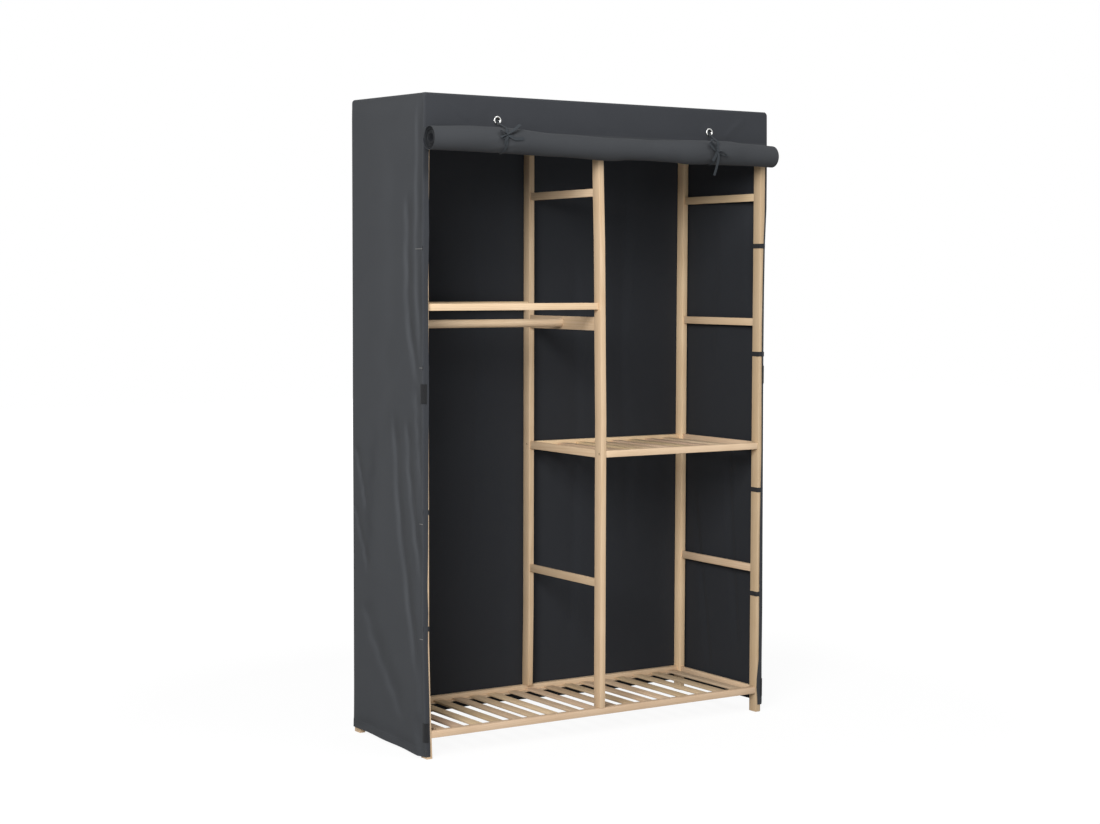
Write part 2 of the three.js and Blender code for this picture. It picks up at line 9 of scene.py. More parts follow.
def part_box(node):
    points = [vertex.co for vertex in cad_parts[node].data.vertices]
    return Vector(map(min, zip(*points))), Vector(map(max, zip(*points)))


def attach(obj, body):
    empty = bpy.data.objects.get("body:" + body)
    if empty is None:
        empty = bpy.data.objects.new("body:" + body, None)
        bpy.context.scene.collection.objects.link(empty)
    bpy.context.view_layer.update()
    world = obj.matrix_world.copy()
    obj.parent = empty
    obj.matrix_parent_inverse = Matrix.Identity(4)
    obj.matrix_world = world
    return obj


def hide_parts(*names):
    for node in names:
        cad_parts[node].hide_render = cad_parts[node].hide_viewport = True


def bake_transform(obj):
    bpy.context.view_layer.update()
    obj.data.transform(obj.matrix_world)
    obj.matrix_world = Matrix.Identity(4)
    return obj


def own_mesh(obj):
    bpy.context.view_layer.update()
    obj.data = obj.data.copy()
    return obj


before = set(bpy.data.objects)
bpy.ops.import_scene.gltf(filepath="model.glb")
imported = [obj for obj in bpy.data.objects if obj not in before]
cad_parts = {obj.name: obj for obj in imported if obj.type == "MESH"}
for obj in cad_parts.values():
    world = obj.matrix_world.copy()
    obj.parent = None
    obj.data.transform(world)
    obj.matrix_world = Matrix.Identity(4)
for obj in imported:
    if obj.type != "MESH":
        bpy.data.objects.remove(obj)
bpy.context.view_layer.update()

mm = 0.001
quarter = math.pi / 2

# Places that the frame gives, in metres
coverLow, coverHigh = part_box("top_panel")
coverMiddle = (coverLow + coverHigh) / 2
halfWidth, halfDepth, _ = (coverHigh - coverLow) / 2
coverTop = coverHigh.z
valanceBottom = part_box("front_valance")[0].z
dropLow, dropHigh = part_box("curtain_drop")
rollLow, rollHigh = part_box("curtain_roll")
rollMiddle = (rollLow + rollHigh) / 2
frontCloth = coverLow.y
dropBack = dropHigh.y - 0.0001


def middleOf(node):
    return sum(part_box(node), Vector()) / 2


def fromCover(x, y, z):
    # a place from the middle of the cover's plan
    return Vector((coverMiddle.x + x, coverMiddle.y + y, z))


# The camera stands where the photograph was taken from
camera = {
    "place": (-3.1101, -4.6898, 1.2311),
    "yaw": 0.5791,
    "pitch": -0.065,
    "roll": 0.0026,
    "focalPixels": 2038.7,
    "imageWidth": 1100,
    "sensorWidth": 36.0,
    "farthest": 60.0,
}


def makeCamera():
    data = bpy.data.cameras.new("photoCamera")
    data.sensor_width = camera["sensorWidth"]
    data.lens = camera["focalPixels"] * camera["sensorWidth"] / camera["imageWidth"]
    data.clip_end = camera["farthest"]
    item = bpy.data.objects.new("photoCamera", data)
    bpy.context.scene.collection.objects.link(item)
    item.matrix_world = Matrix.Translation(fromCover(*camera["place"]))
    for angle, axis in ((-camera["yaw"], "Z"), (math.pi / 2 + camera["pitch"], "X"), (camera["roll"], "Z")):
        item.matrix_world = item.matrix_world @ Matrix.Rotation(angle, 4, axis)
    bpy.context.scene.camera = item
    print("camera in place")


# Shaders: a Value wraps a socket, so that sums on it add Math nodes


class Value:
    def __init__(self, finish, socket):
        self.finish = finish
        self.socket = socket

    def combined(self, operation, *others):
        return self.finish.add("Math", dict(enumerate((self, *others))), operation=operation)

    def __add__(self, other):
        return self.combined("ADD", other)

    def __sub__(self, other):
        return self.combined("SUBTRACT", other)

    def __mul__(self, other):
        return self.combined("MULTIPLY", other)

    def __pow__(self, other):
        return self.combined("POWER", other)

    def sine(self):
        return self.combined("SINE")


class Finish:
    def __init__(self, owner):
        # the owner is a new material, or the world
        self.owner = owner
        self.owner.use_nodes = True
        self.tree = self.owner.node_tree
        self.tree.nodes.clear()

    def add(self, kind, sockets=(), out=0, **settings):
        node = self.tree.nodes.new("ShaderNode" + kind)
        for key, setting in settings.items():
            setattr(node, key, setting)
        for key, given in dict(sockets).items():
            if isinstance(given, Value):
                self.tree.links.new(given.socket, node.inputs[key])
            else:
                node.inputs[key].default_value = given
        return Value(self, node.outputs[out]) if node.outputs else None

    def place(self):
        return self.add("TexCoord", out=3)

    def parts(self, place):
        node = self.add("SeparateXYZ", {0: place}).socket.node
        return [Value(self, socket) for socket in node.outputs]

    def mix(self, share, first, second):
        return self.add("Mix", {0: share, 6: first, 7: second}, out=2, data_type="RGBA", clamp_factor=True)

    def noise(self, place, scale, detail=2.0, roughness=0.5):
        sockets = {"Vector": place, "Scale": scale, "Detail": detail, "Roughness": roughness}
        return self.add("TexNoise", sockets)

    def moved(self, place, **sockets):
        return self.add("Mapping", {"Vector": place, **sockets})

    def bump(self, strength, distance, height):
        return self.add("Bump", {"Strength": strength, "Distance": distance, "Height": height})

    def surface(self, sockets):
        self.add("OutputMaterial", {"Surface": self.add("BsdfPrincipled", sockets)})
        return self.owner


def colour(red, green, blue, gain=1.0):
    # a screen colour, 0 to 255, as the shader's linear one, made gain times as bright
    shares = [channel / 255 for channel in (red, green, blue)]
    linear = [share / 12.92 if share <= 0.04045 else ((share + 0.055) / 1.055) ** 2.4 for share in shares]
    return (*[gain * channel for channel in linear], 1)


cloth = {
    "side": (65, 67, 70),
    # the same cloth as the sides, darker, as painted shade on the front-facing valance and strips
    "front": (59, 61, 65),
    "roll": (65, 67, 70),
    # the colour of the cloth's inner side, darker than its outer side
    "inside": (45, 47, 51),
    "insideMottle": 0.05,
    "tape": (58, 62, 66),
    "weavePitch": 0.0011,
    "weaveRise": 0.00012,
    "thickness": 0.0009,
    # painted light: the cover's inner side is painted paler towards its top
    "paleFrom": 1.25,  # up a panel, where its inner side begins to be paler
    "paleTo": 1.6,
    "paleTop": 0.5,
    "roughness": 0.9,
    "gloss": 0.12,
    "sheen": 0.03,
}


def clothFinish(name, tone, mottle=0.1, pitch=cloth["weavePitch"], paleTop=0.0):
    finish = Finish(bpy.data.materials.new(name))
    place = finish.add("UVMap")
    across, along, _ = finish.parts(place)
    turn = 2 * math.pi / pitch
    weave = (across * turn).sine() * (along * turn).sine()
    fibres = finish.noise(place, 900)
    cloudy = finish.noise(place, 7, detail=4, roughness=0.6)
    # painted light and shade from the sheet's attribute: pale and dark flanks painted on the side panels'
    # folds, a painted shadow of the roll on the front strips' tops, and painted shade in the roll's ends
    crease = finish.add("Attribute", out=2, attribute_name="crease")
    share = cloudy * mottle * 1.14 + fibres * 0.1 + weave * 0.017 + crease * 0.286 + (0.45 - mottle * 0.57)
    # painted light, paler towards the top of the inner side
    if paleTop:
        sockets = {0: along, 1: cloth["paleFrom"], 2: cloth["paleTo"], 4: paleTop}
        share = share + finish.add("MapRange", sockets, interpolation_type="SMOOTHSTEP")
    return finish.surface({
        "Base Color": finish.mix(share, colour(*tone, gain=0.3), colour(*tone, gain=1.7)),
        "Roughness": fibres * 0.1 + (cloth["roughness"] - 0.05),
        "Normal": finish.bump(0.35, cloth["weaveRise"], weave * 0.5 + fibres * 0.8),
        "Sheen Weight": cloth["sheen"],
        "Sheen Roughness": 0.5,
        "Specular IOR Level": cloth["gloss"],
    })


pine = {
    "light": (231, 206, 175),
    "dark": (198, 165, 126),
    "ringPitch": 0.0042,
    "streakScale": 210,
    "alongShare": 0.05,  # how much slower the grain changes along the timber
    "roughness": 0.56,
    "gloss": 0.35,
}


def pineFinish(name, along, seed, gain=1.0, tint=(1.0, 1.0, 1.0)):
    draw = random.Random(seed)
    finish = Finish(bpy.data.materials.new(name))
    raw = finish.place()
    slant = [draw.uniform(-0.012, 0.012) for _ in range(3)]
    shift = [draw.uniform(-3, 3) for _ in range(3)]
    squeeze = [pine["alongShare"] if axis == along else 1 for axis in "xyz"]
    place = finish.moved(finish.moved(raw, Location=shift, Rotation=slant), Scale=squeeze)
    bend = finish.noise(place, 26, detail=1)
    streaks = finish.noise(place, pine["streakScale"], detail=4, roughness=0.6)
    pores = finish.noise(place, 1400)
    across = [part for axis, part in zip("xyz", finish.parts(place)) if axis != along]
    lean = draw.uniform(0.5, 2.6)
    layer = across[0] * math.cos(lean) + across[1] * math.sin(lean) + bend * 0.03
    ring = ((layer * (2 * math.pi / pine["ringPitch"])).sine() * 0.5 + 0.5) ** 2.5
    drift = finish.noise(raw, 9)
    share = ring * 0.22 + streaks * 0.55 + drift * 0.5 - 0.29
    tones = [zip(colour(*pine[tone], gain=gain), tint) for tone in ("light", "dark")]
    light, dark = [(*[channel * factor for channel, factor in tone], 1) for tone in tones]
    return finish.surface({
        "Base Color": finish.mix(share, light, dark),
        "Roughness": ring * 0.06 + streaks * 0.12 + pine["roughness"],
        "Normal": finish.bump(0.3, 0.0002, pores * 0.4 + streaks * 0.3 - ring * 0.3),
        "Specular IOR Level": pine["gloss"],
    })


def webbingFinish(name, tone, pitch, fuzz):
    finish = Finish(bpy.data.materials.new(name))
    place = finish.place()
    x, y, z = finish.parts(place)
    turn = 2 * math.pi / pitch
    ribs, cross = (z * turn).sine(), ((x + y) * turn).sine()
    fibres = finish.noise(place, 1800, detail=3)
    share = ribs * 0.25 + cross * ribs * 0.15 + fibres * fuzz
    return finish.surface({
        "Base Color": finish.mix(share, colour(*tone, gain=0.75), colour(*tone, gain=1.5)),
        "Roughness": fibres * 0.15 + 0.82,
        "Normal": finish.bump(0.6, 0.0003, ribs * 0.4 + cross * 0.2 + fibres * fuzz),
        "Sheen Weight": 0.05,
    })


def steelFinish(name, low, high):
    finish = Finish(bpy.data.materials.new(name))
    wear = finish.noise(finish.place(), 600, detail=3)
    return finish.surface({
        "Base Color": finish.mix(wear, colour(*low), colour(*high)),
        "Roughness": wear * 0.16 + 0.16,
        "Metallic": 1.0,
        "Normal": finish.bump(0.1, 0.0001, wear),
    })


# Modelling helpers


def objectMode():
    bpy.ops.object.mode_set(mode="OBJECT")


def deselect():
    if bpy.context.object and bpy.context.object.mode != "OBJECT":
        objectMode()
    bpy.ops.object.select_all(action="DESELECT")


def alone(item):
    deselect()
    item.select_set(True)
    bpy.context.view_layer.objects.active = item


def edit(item):
    alone(item)
    bpy.ops.object.mode_set(mode="EDIT")
    bpy.ops.mesh.select_all(action="SELECT")


def editFaces(item, isChosen):
    # edits the item with these of its faces selected
    edit(item)
    bpy.ops.mesh.select_mode(type="FACE")
    bpy.ops.mesh.select_all(action="DESELECT")
    objectMode()
    for face in item.data.polygons:
        face.select = bool(isChosen(face))
    bpy.ops.object.mode_set(mode="EDIT")


def named(name):
    item = bpy.context.object
    item.name = name
    item.data.name = name
    return item


def settle(item):
    alone(item)
    bpy.ops.object.transform_apply(location=True, rotation=True, scale=True)
    return item


def made(primitive, name, turn=(0, 0, 0), scale=(1, 1, 1), **settings):
    # a primitive, turned and scaled, and then settled
    deselect()
    primitive(**settings)
    item = named(name)
    item.rotation_euler = turn
    item.scale = scale
    return settle(item)


def modified(item, kind, **settings):
    alone(item)
    bpy.ops.object.modifier_add(type=kind)
    modifier = item.modifiers[-1]
    for key, setting in settings.items():
        setattr(modifier, key, setting)
    bpy.ops.object.modifier_apply(modifier=modifier.name)
    return item


def joinedPieces(name, items):
    deselect()
    for item in items:
        item.select_set(True)
    bpy.context.view_layer.objects.active = items[0]
    bpy.ops.object.join()
    return named(name)


def smoothed(item, degrees=35):
    alone(item)
    bpy.ops.object.shade_smooth_by_angle(angle=math.radians(degrees))
    return item


def bevelled(item, width, segments=2, degrees=60):
    settings = {"width": width, "segments": segments, "limit_method": "ANGLE"}
    return smoothed(modified(item, "BEVEL", angle_limit=math.radians(degrees), **settings))


def dressed(item, *materials):
    item.data.materials.clear()
    for material in materials:
        item.data.materials.append(material)
    return item


def placed(piece, node, body="frame_and_cover"):
    # hangs the piece on the body that it rides on, if there is one, and hides the node that it stands for
    if body:
        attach(piece, body)
    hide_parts(node)


def ease(share):
    share = np.clip(share, 0, 1)
    return share * share * (3 - 2 * share)


def bell(share):
    return np.exp(-(share**2))


def gridLines(start, end, step, zones=()):
    # places from start to end, closer together in zones: (middle, reach, step)
    places = [start]
    while places[-1] < end:
        ahead = places[-1] + step / 2
        near = [fine for middle, reach, fine in zones if abs(ahead - middle) < reach + step / 2]
        places.append(places[-1] + min([step, *near]))
    places[-1] = end
    if places[-1] - places[-2] < step / 50:
        del places[-2]
    return np.array(places)


def makeSheet(name, across, along, placeAt):
    # a grid whose columns and rows lie at these places on the flat cloth. placeAt gives x, y and z, and may
    # give how much paler or darker the cloth is painted there, as painted light and shade.
    columns, rows = len(across) - 1, len(along) - 1
    sheet = made(bpy.ops.mesh.primitive_grid_add, name, x_subdivisions=columns, y_subdivisions=rows, size=1)
    mesh = sheet.data
    flat = np.zeros(len(mesh.vertices) * 3)
    mesh.vertices.foreach_get("co", flat)
    flat = flat.reshape(-1, 3)
    u = across[np.rint((flat[:, 0] + 0.5) * columns).astype(int)]
    v = along[np.rint((flat[:, 1] + 0.5) * rows).astype(int)]
    x, y, z, *paler = placeAt(u, v)
    mesh.vertices.foreach_set("co", np.column_stack((x, y, z)).ravel())
    corners = np.zeros(len(mesh.loops), int)
    mesh.loops.foreach_get("vertex_index", corners)
    mesh.uv_layers[0].data.foreach_set("uv", np.column_stack((u, v))[corners].ravel())
    if paler:
        # the painted light and shade, kept on the mesh for the cloth's colour
        mesh.attributes.new("crease", "FLOAT", "POINT").data.foreach_set("value", paler[0])
    mesh.update()
    return sheet


def thickened(sheet, thickness, offset=-1.0, lining=0):
    settings = {"thickness": thickness, "offset": offset, "use_even_offset": False}
    settings.update({"material_offset": lining, "use_quality_normals": True})
    return smoothed(modified(sheet, "SOLIDIFY", **settings))


def madeCloth(sheet, cloths, node, body="frame_and_cover", thickness=cloth["thickness"]):
    # gives a sheet its outer and inner cloth and its thickness, and returns the area that it had
    area = sum(face.area for face in dressed(sheet, *cloths).data.polygons)
    thickened(sheet, thickness, lining=1)
    placed(sheet, node, body)
    return area


# The frame stands a little out of true, and takes its cloth along. How far the places by each post lie to
# the right of their true ones, in millimetres, at each height in metres
lean = {
    "heights": (0, 0.15, 0.3, 0.85, 1.03, 1.2, 1.33, 1.43, 1.54, 1.7),
    "leftFront": (0, -6, -10, -10, -10, -10, -10, -9, -7.5, -4),
    "middleFront": (0, 0, 0, 0, -3, -5, -7, -10, -13, -15),
    "middleRear": (0, 2, 4, 4, 4, 4, 4, 4, 4, 4),
    "rightCloth": (4, 3, 3.5, 0, -1.2, -1, 0.5, 5, 5, 3),
    "rightRear": (4, 4.2, 4.4, 4.8, 5, 5.2, 5.5, 5.8, 6, 6),
    "reach": 0.14,  # across the wardrobe, to where a post's lean no longer counts
    "rise": 0.0078,  # of the left rear corner's top
    "riseFrom": 0.07,  # of the depth, from the front
    "riseHeight": 0.25,
}


def leanAt(x, y, z, isCloth=False):
    # how far places move to the right and up

    def nearPost(post, postX):
        return ease(1 - np.abs(x - postX) / lean["reach"]) * np.interp(z, lean["heights"], lean[post]) * mm

    front = 1 - np.clip((y - coverLow.y) / (2 * halfDepth), 0, 1)
    inFront = nearPost("leftFront", coverLow.x)
    inRear = nearPost("rightRear", coverHigh.x)
    if isCloth:
        inFront = inFront + nearPost("rightCloth", coverHigh.x)
    else:
        inFront = inFront + nearPost("middleFront", coverMiddle.x)
        inRear = inRear + nearPost("middleRear", coverMiddle.x)
    back = np.clip((1 - front - lean["riseFrom"]) / (1 - lean["riseFrom"]), 0, 1)
    leftward = np.clip((coverHigh.x - x) / (2 * halfWidth), 0, 1) ** 2
    up = lean["rise"] * back * leftward * ease((z - coverTop + lean["riseHeight"]) / lean["riseHeight"])
    return inFront * front + inRear * (1 - front), up


# The cover: panels of cloth over the rounded box of the frame
cover = {
    "edgeRadius": 0.006,
    "cornerRadius": 0.01,
    "cornerReach": 0.011,
    "hems": {"left": (0.006, 0.018), "right": (0.025, 0.029)},  # at the front and at the rear
    "hemBack": 0.025,
    "hemDepth": 0.02,
    "hemRise": 0.0007,
    "hemWave": 0.003,
    "step": 0.0048,
    "plainStep": 0.012,  # of the panels that the photo hides or shows edge-on
    "backStep": 0.014,  # up the back panel
    "valanceStep": 0.006,  # up the valance
    "edgeStep": 0.0016,
    "eyeletStep": 0.002,
    "hemStep": 0.001,
    "foldFade": 0.15,  # share of a fold's run over which it starts and ends
    "steepShare": 0.72,  # of its spread, on its steep side
    "darkShare": 0.5,  # of a fold's painted light on its pale side, how much painted shade its other side has
    "puff": 0.0062,  # how far the side panels stand out between their edges
    "ripple": 0.0012,
    "hemRipple": 0.0022,
    "edgeFade": 0.02,  # from a side panel's edges, to where it stands out in full
    "topFade": 0.05,
    "patchInset": 0.014,
    "patchClear": 0.016,
    "topSag": 0.007,
    "eyeletHole": 0.0078,
    "eyeletShift": {"left": (0.003, 0, 0), "right": (0.006, 0, -0.0024)},
}

# Each fold has its rise and spread in millimetres, its painted shading, which is how much paler the cloth is
# painted on the rear side of its run as painted light, with painted shade on its other side, and its run in
# shares of the depth, from the front, and of the height
leftFolds = [
    (-3.6, 13, 0.9, [(0.06, 1.00), (0.056, 0.865), (0.056, 0.73), (0.034, 0.66), (0.01, 0.58)]),
    (-6.2, 15, 0.9, [(0.18, 0.86), (0.178, 0.7), (0.165, 0.66), (0.13, 0.63), (0.095, 0.6),
                      (0.055, 0.575), (0.0, 0.555)]),
    (-6.0, 17, 0.95, [(0.355, 0.53), (0.335, 0.435), (0.308, 0.38), (0.286, 0.34), (0.242, 0.3),
                      (0.2, 0.26), (0.163, 0.22), (0.122, 0.18), (0.075, 0.14), (0.04, 0.11)]),
    (-5.0, 14, 0.9, [(0.18, 0.52), (0.163, 0.435), (0.135, 0.395), (0.104, 0.36), (0.07, 0.325),
                      (0.035, 0.295), (-0.01, 0.26)]),
    (-3.4, 11, 0.6, [(0.075, 0.56), (0.045, 0.48), (0.005, 0.4)]),
    (-4.6, 12, 0.7, [(0.93, 0.46), (0.86, 0.415), (0.82, 0.39), (0.775, 0.35)]),
    (-4.2, 12, 0.6, [(0.945, 0.365), (0.862, 0.315), (0.81, 0.295), (0.75, 0.255)]),
    (-5.0, 26, 0.5, [(0.82, 0.215), (0.68, 0.16), (0.59, 0.135), (0.5, 0.11), (0.415, 0.09),
                      (0.335, 0.065), (0.235, 0.045)]),
    # broad bands painted lighter and darker with little relief: painted light over the upper middle, painted
    # shade lower down and along the hem
    (3.0, 90, 0.2, [(0.34, 0.97), (0.3, 0.75), (0.4, 0.45)]),
    (-1.0, 45, -0.3, [(0.56, 0.5), (0.64, 0.4), (0.7, 0.26)]),
    (0.4, 30, -0.3, [(-0.2, 0.0), (0.5, 0.01), (1.2, 0.0)]),
]
rightFolds = [
    (3.0, 16, 0, [(0.18, 0.97), (0.2, 0.72), (0.13, 0.57)]),
    (3.4, 15, 0, [(0.45, 0.48), (0.38, 0.25), (0.3, 0.06)]),
    (3.0, 13, 0, [(0.85, 0.36), (0.7, 0.14), (0.62, 0.02)]),
    (-2.0, 30, 0, [(0.6, 0.95), (0.52, 0.75), (0.58, 0.55)]),
]
backFolds = [
    (3.6, 22, 0, [(0.17, 0.98), (0.19, 0.6), (0.16, 0.2)]),
    (3.0, 18, 0, [(0.34, 0.8), (0.33, 0.45), (0.36, 0.04)]),
    (3.6, 22, 0, [(0.66, 0.97), (0.64, 0.55), (0.67, 0.12)]),
    (3.0, 18, 0, [(0.83, 0.9), (0.84, 0.5), (0.8, 0.05)]),
]
valanceFolds = [
    (1.2, 8, 0, [(0.04, 0.9), (0.12, 0.3)]),
    (1.2, 10, 0, [(0.42, 0.95), (0.5, 0.2)]),
    (1.4, 10, 0, [(0.93, 0.85), (0.86, 0.2)]),
]


def roundedOver(x, y, z):
    # takes places on the sharp box to the box with rounded edges, rounder still at its top corners
    sharp = (np.abs(x - coverMiddle.x), np.abs(y - coverMiddle.y), z)
    ends = (halfWidth, halfDepth, coverTop)
    gap = np.sqrt(sum((end - place) ** 2 for place, end in zip(sharp, ends)))
    extra = (cover["cornerRadius"] - cover["edgeRadius"]) * (1 - ease(gap / cover["cornerReach"]))
    radius = cover["edgeRadius"] + extra
    over = [np.maximum(place - end + radius, 0) for place, end in zip(sharp, ends)]
    length = np.maximum(np.sqrt(sum(part**2 for part in over)), 1e-9)
    scale = np.minimum(radius / length, 1)
    rounded = [np.minimum(at, end - radius) + part * scale for at, end, part in zip(sharp, ends, over)]
    newX, newY, newZ = rounded
    x = coverMiddle.x + np.sign(x - coverMiddle.x) * newX
    y = coverMiddle.y + np.sign(y - coverMiddle.y) * newY
    right, up = leanAt(x, y, newZ, isCloth=True)
    return x + right, y, newZ + up


def foldLift(across, up, folds, width, height):
    # how far the folds stand out at shares across and up a panel, and how much paler or darker they are
    # painted, as painted light and shade
    lift, paler = np.zeros_like(across), np.zeros_like(across)
    for rise, spread, crease, run in folds:
        rise, spread, run = rise * mm, spread * mm, np.array(run) * (width, height)
        nearest = np.full_like(across, 9.0)
        along, beside = np.zeros_like(across), np.zeros_like(across)
        ends = np.concatenate(([0], np.cumsum(np.linalg.norm(np.diff(run, axis=0), axis=1))))
        for index, (start, end) in enumerate(zip(run, run[1:])):
            step = end - start
            offX, offY = across * width - start[0], up * height - start[1]
            share = np.clip((offX * step[0] + offY * step[1]) / (step @ step), 0, 1)
            away = np.hypot(offX - share * step[0], offY - share * step[1])
            closer = away < nearest
            nearest = np.where(closer, away, nearest)
            along = np.where(closer, (ends[index] + share * np.linalg.norm(step)) / ends[-1], along)
            beside = np.where(closer, np.sign(offX * step[1] - offY * step[0]), beside)
        fade = ease(along / cover["foldFade"]) * ease((1 - along) / cover["foldFade"])
        steep = cover["steepShare"] if rise < 0 else 1 / cover["steepShare"]
        lift += rise * fade * bell(nearest / (spread * np.where(beside > 0, 1 / steep, steep)))
        # painted light on one side of the fold's run, and painted shade on the other
        behind = 0.12 * np.sin(31 * along + 90 * spread) - beside * nearest / spread
        pale = bell((behind - 0.5) / np.where(behind > 0.5, 0.5, 0.32))
        uneven = 0.8 + 0.2 * np.sin(19 * along + 40 * spread)
        paler += crease * fade * uneven * (pale - cover["darkShare"] * bell(behind + 1))
    return lift, paler


def wallPlaces(side, across, z, lift):
    # sharp places on a wall, rounded over, then lifted outwards. Across runs from left to right as seen
    # from outside.
    starts = {
        "left": (coverLow.x, coverHigh.y, 0, -1, -1, 0),
        "front": (coverLow.x, coverLow.y, 1, 0, 0, -1),
        "right": (coverHigh.x, coverLow.y, 0, 1, 1, 0),
        "back": (coverHigh.x, coverHigh.y, -1, 0, 0, 1),
    }
    startX, startY, stepX, stepY, outX, outY = starts[side]
    x, y, z = roundedOver(startX + across * stepX, startY + across * stepY, z)
    return x + lift * outX, y + lift * outY, z


def edgeZones(width):
    return [(place, cover["cornerRadius"], cover["edgeStep"]) for place in (0, width)]


def hemSwell(z, hem):
    # the doubled cloth of a hem, with a soft step at its upper edge
    return cover["hemRise"] * (1 - ease((z - hem - cover["hemDepth"]) / 0.002))


def sidePanel(side, folds, cloths):
    width = 2 * halfDepth
    hemFront, hemRear = cover["hems"][side]
    height = coverTop - hemFront
    across = gridLines(0, width, cover["step"], edgeZones(width))
    zones = [*edgeZones(height)[1:], (cover["hemDepth"], 0.004, cover["hemStep"])]
    up = gridLines(0, height, cover["step"], zones)
    patchHeights = [middleOf(f"{side}_{place}_patch").z for place in ("upper", "lower")]

    def placeAt(u, v):
        fromFront = 1 - u / width if side == "left" else u / width
        hem = hemFront + (hemRear - hemFront) * fromFront
        share = v / height
        z = hem + (coverTop - hem) * share
        lift, paler = foldLift(fromFront, share, folds, width, height)
        lift += cover["puff"]
        lift += cover["ripple"] * np.sin(9 * fromFront + 4 * share) * np.sin(6 * share + 2)
        lift += cover["hemRipple"] * np.sin(13 * fromFront + 1) * np.exp(-share / 0.05)
        back, fade = fromFront * width, cover["edgeFade"]
        lift *= ease(back / fade - 0.5) * ease((width - back) / fade) * ease((coverTop - z) / cover["topFade"])
        for patchZ in patchHeights:
            away = np.hypot(back - cover["patchInset"], (z - patchZ) * 0.6)
            lift *= ease((away - cover["patchClear"]) / fade)
        return *wallPlaces(side, u, z, np.maximum(lift, -cloth["thickness"]) + hemSwell(z, hem)), paler

    panel = makeSheet(f"{side}SidePanel", across, up, placeAt)
    area = madeCloth(panel, cloths, f"{side}_side_panel")
    print(f"{side} side panel: {area:.3f} square metres")
    return panel


# Rows of stitches on the left panel, which hold its straps: how high, and where each ends
stitch = {
    "rows": [(1.307, -0.17), (1.006, -0.184), (0.608, -0.182), (0.312, -0.182)],
    "start": -0.198,
    "tone": (140, 138, 135),
    "threadPitch": 0.0004,
    "length": 0.0034,
    "pitch": 0.0046,
    "width": 0.0011,
    "proud": 0.0005,
}


def makeStitches(panel):
    thread = clothFinish("thread", stitch["tone"], pitch=stitch["threadPitch"])
    pieces = []
    for row, (z, end) in enumerate(stitch["rows"]):
        for number in range(int((end - stitch["start"]) / stitch["pitch"])):
            points = []
            for share in (0, 0.5, 1):
                along = stitch["start"] + number * stitch["pitch"] + share * stitch["length"]
                y = coverMiddle.y + along
                _, place, _, _ = panel.ray_cast(Vector((coverLow.x - 0.1, y, z)), Vector((1, 0, 0)))
                points.append(place - Vector((stitch["proud"], 0, 0)))
            pieces.append(makeTape(f"stitch{row}_{number}", points, [(-1, 0, 0)] * 3, stitch["width"], 2))
    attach(dressed(joinedPieces("strapStitches", pieces), thread), "frame_and_cover")


def backPanel(cloths):
    width = 2 * halfWidth
    height = coverTop - cover["hemBack"]
    across = gridLines(0, width, cover["plainStep"], edgeZones(width))
    up = gridLines(0, height, cover["backStep"], edgeZones(height)[1:])

    def placeAt(u, v):
        share = v / height
        hem = cover["hemBack"] + cover["hemWave"] * np.sin(9 * u + 2)
        z = hem + (coverTop - hem) * share
        lift = foldLift(u / width, share, backFolds, width, height)[0]
        postAway = np.minimum(np.minimum(u, width - u), np.abs(u - width / 2))
        free = ease((postAway - 0.012) / 0.06) * ease((coverTop - z) / 0.06)
        bulge = 0.004 * np.sin(11 * u + 1) * np.sin(5 * v) + 0.002
        return wallPlaces("back", u, z, (lift + bulge) * free + hemSwell(z, hem))

    panel = makeSheet("backPanel", across, up, placeAt)
    madeCloth(panel, cloths, "back_panel")


def topPanel(cloths):
    width, depth = 2 * halfWidth, 2 * halfDepth
    across = gridLines(0, width, cover["plainStep"], edgeZones(width))
    along = gridLines(0, depth, cover["plainStep"], edgeZones(depth))

    def placeAt(u, v):
        x, y, z = roundedOver(coverLow.x + u, coverLow.y + v, np.full_like(u, coverTop))
        inside = ease(np.minimum(v, depth - v) / 0.1) * ease(np.minimum(u, width - u) / 0.12)
        sag = cover["topSag"] * inside * (0.75 + 0.25 * np.sin(7 * np.abs(u - width / 2) + 9 * v))
        return x, y, z - sag

    panel = makeSheet("topPanel", across, along, placeAt)
    madeCloth(panel, cloths, "top_panel")


def eyeletPlaces():
    return [middleOf(f"{side}_eyelet") + Vector(shift) for side, shift in cover["eyeletShift"].items()]


def valance(cloths):
    width = 2 * halfWidth
    height = coverTop - valanceBottom
    eyelets = [(place.x - coverLow.x, place.z - valanceBottom) for place in eyeletPlaces()]
    zones = [*edgeZones(width), *[(eyelet, 0.016, cover["eyeletStep"]) for eyelet, _ in eyelets]]
    across = gridLines(0, width, cover["step"], zones)
    zones = [*edgeZones(height)[1:], (eyelets[0][1], 0.014, cover["eyeletStep"])]
    up = gridLines(0, height, cover["valanceStep"], zones)

    def placeAt(u, v):
        lift = foldLift(u / width, v / height, valanceFolds, width, height)[0]
        lift += 0.001 * np.sin(17 * u + 0.6) * np.sin(34 * v + 12 * u)
        for eyeletX, eyeletZ in eyelets:
            away = np.hypot(u - eyeletX, v - eyeletZ)
            lift *= ease((away - 0.012) / 0.03)
            lift -= 0.0008 * bell((away - 0.03) / 0.012)
        free = ease((height - v) / 0.03) * ease(np.minimum(u, width - u) / 0.03)
        return wallPlaces("front", u, valanceBottom + v, lift * free * ease((v - 0.012) / 0.012))

    def isHole(face):
        fromLeft, rise = face.center.x - coverLow.x, face.center.z - valanceBottom
        away = min(math.hypot(fromLeft - eyeletX, rise - eyeletZ) for eyeletX, eyeletZ in eyelets)
        return away < cover["eyeletHole"]

    panel = makeSheet("frontValance", across, up, placeAt)
    editFaces(panel, isHole)
    bpy.ops.mesh.delete(type="FACE")
    objectMode()
    madeCloth(panel, cloths, "front_valance")
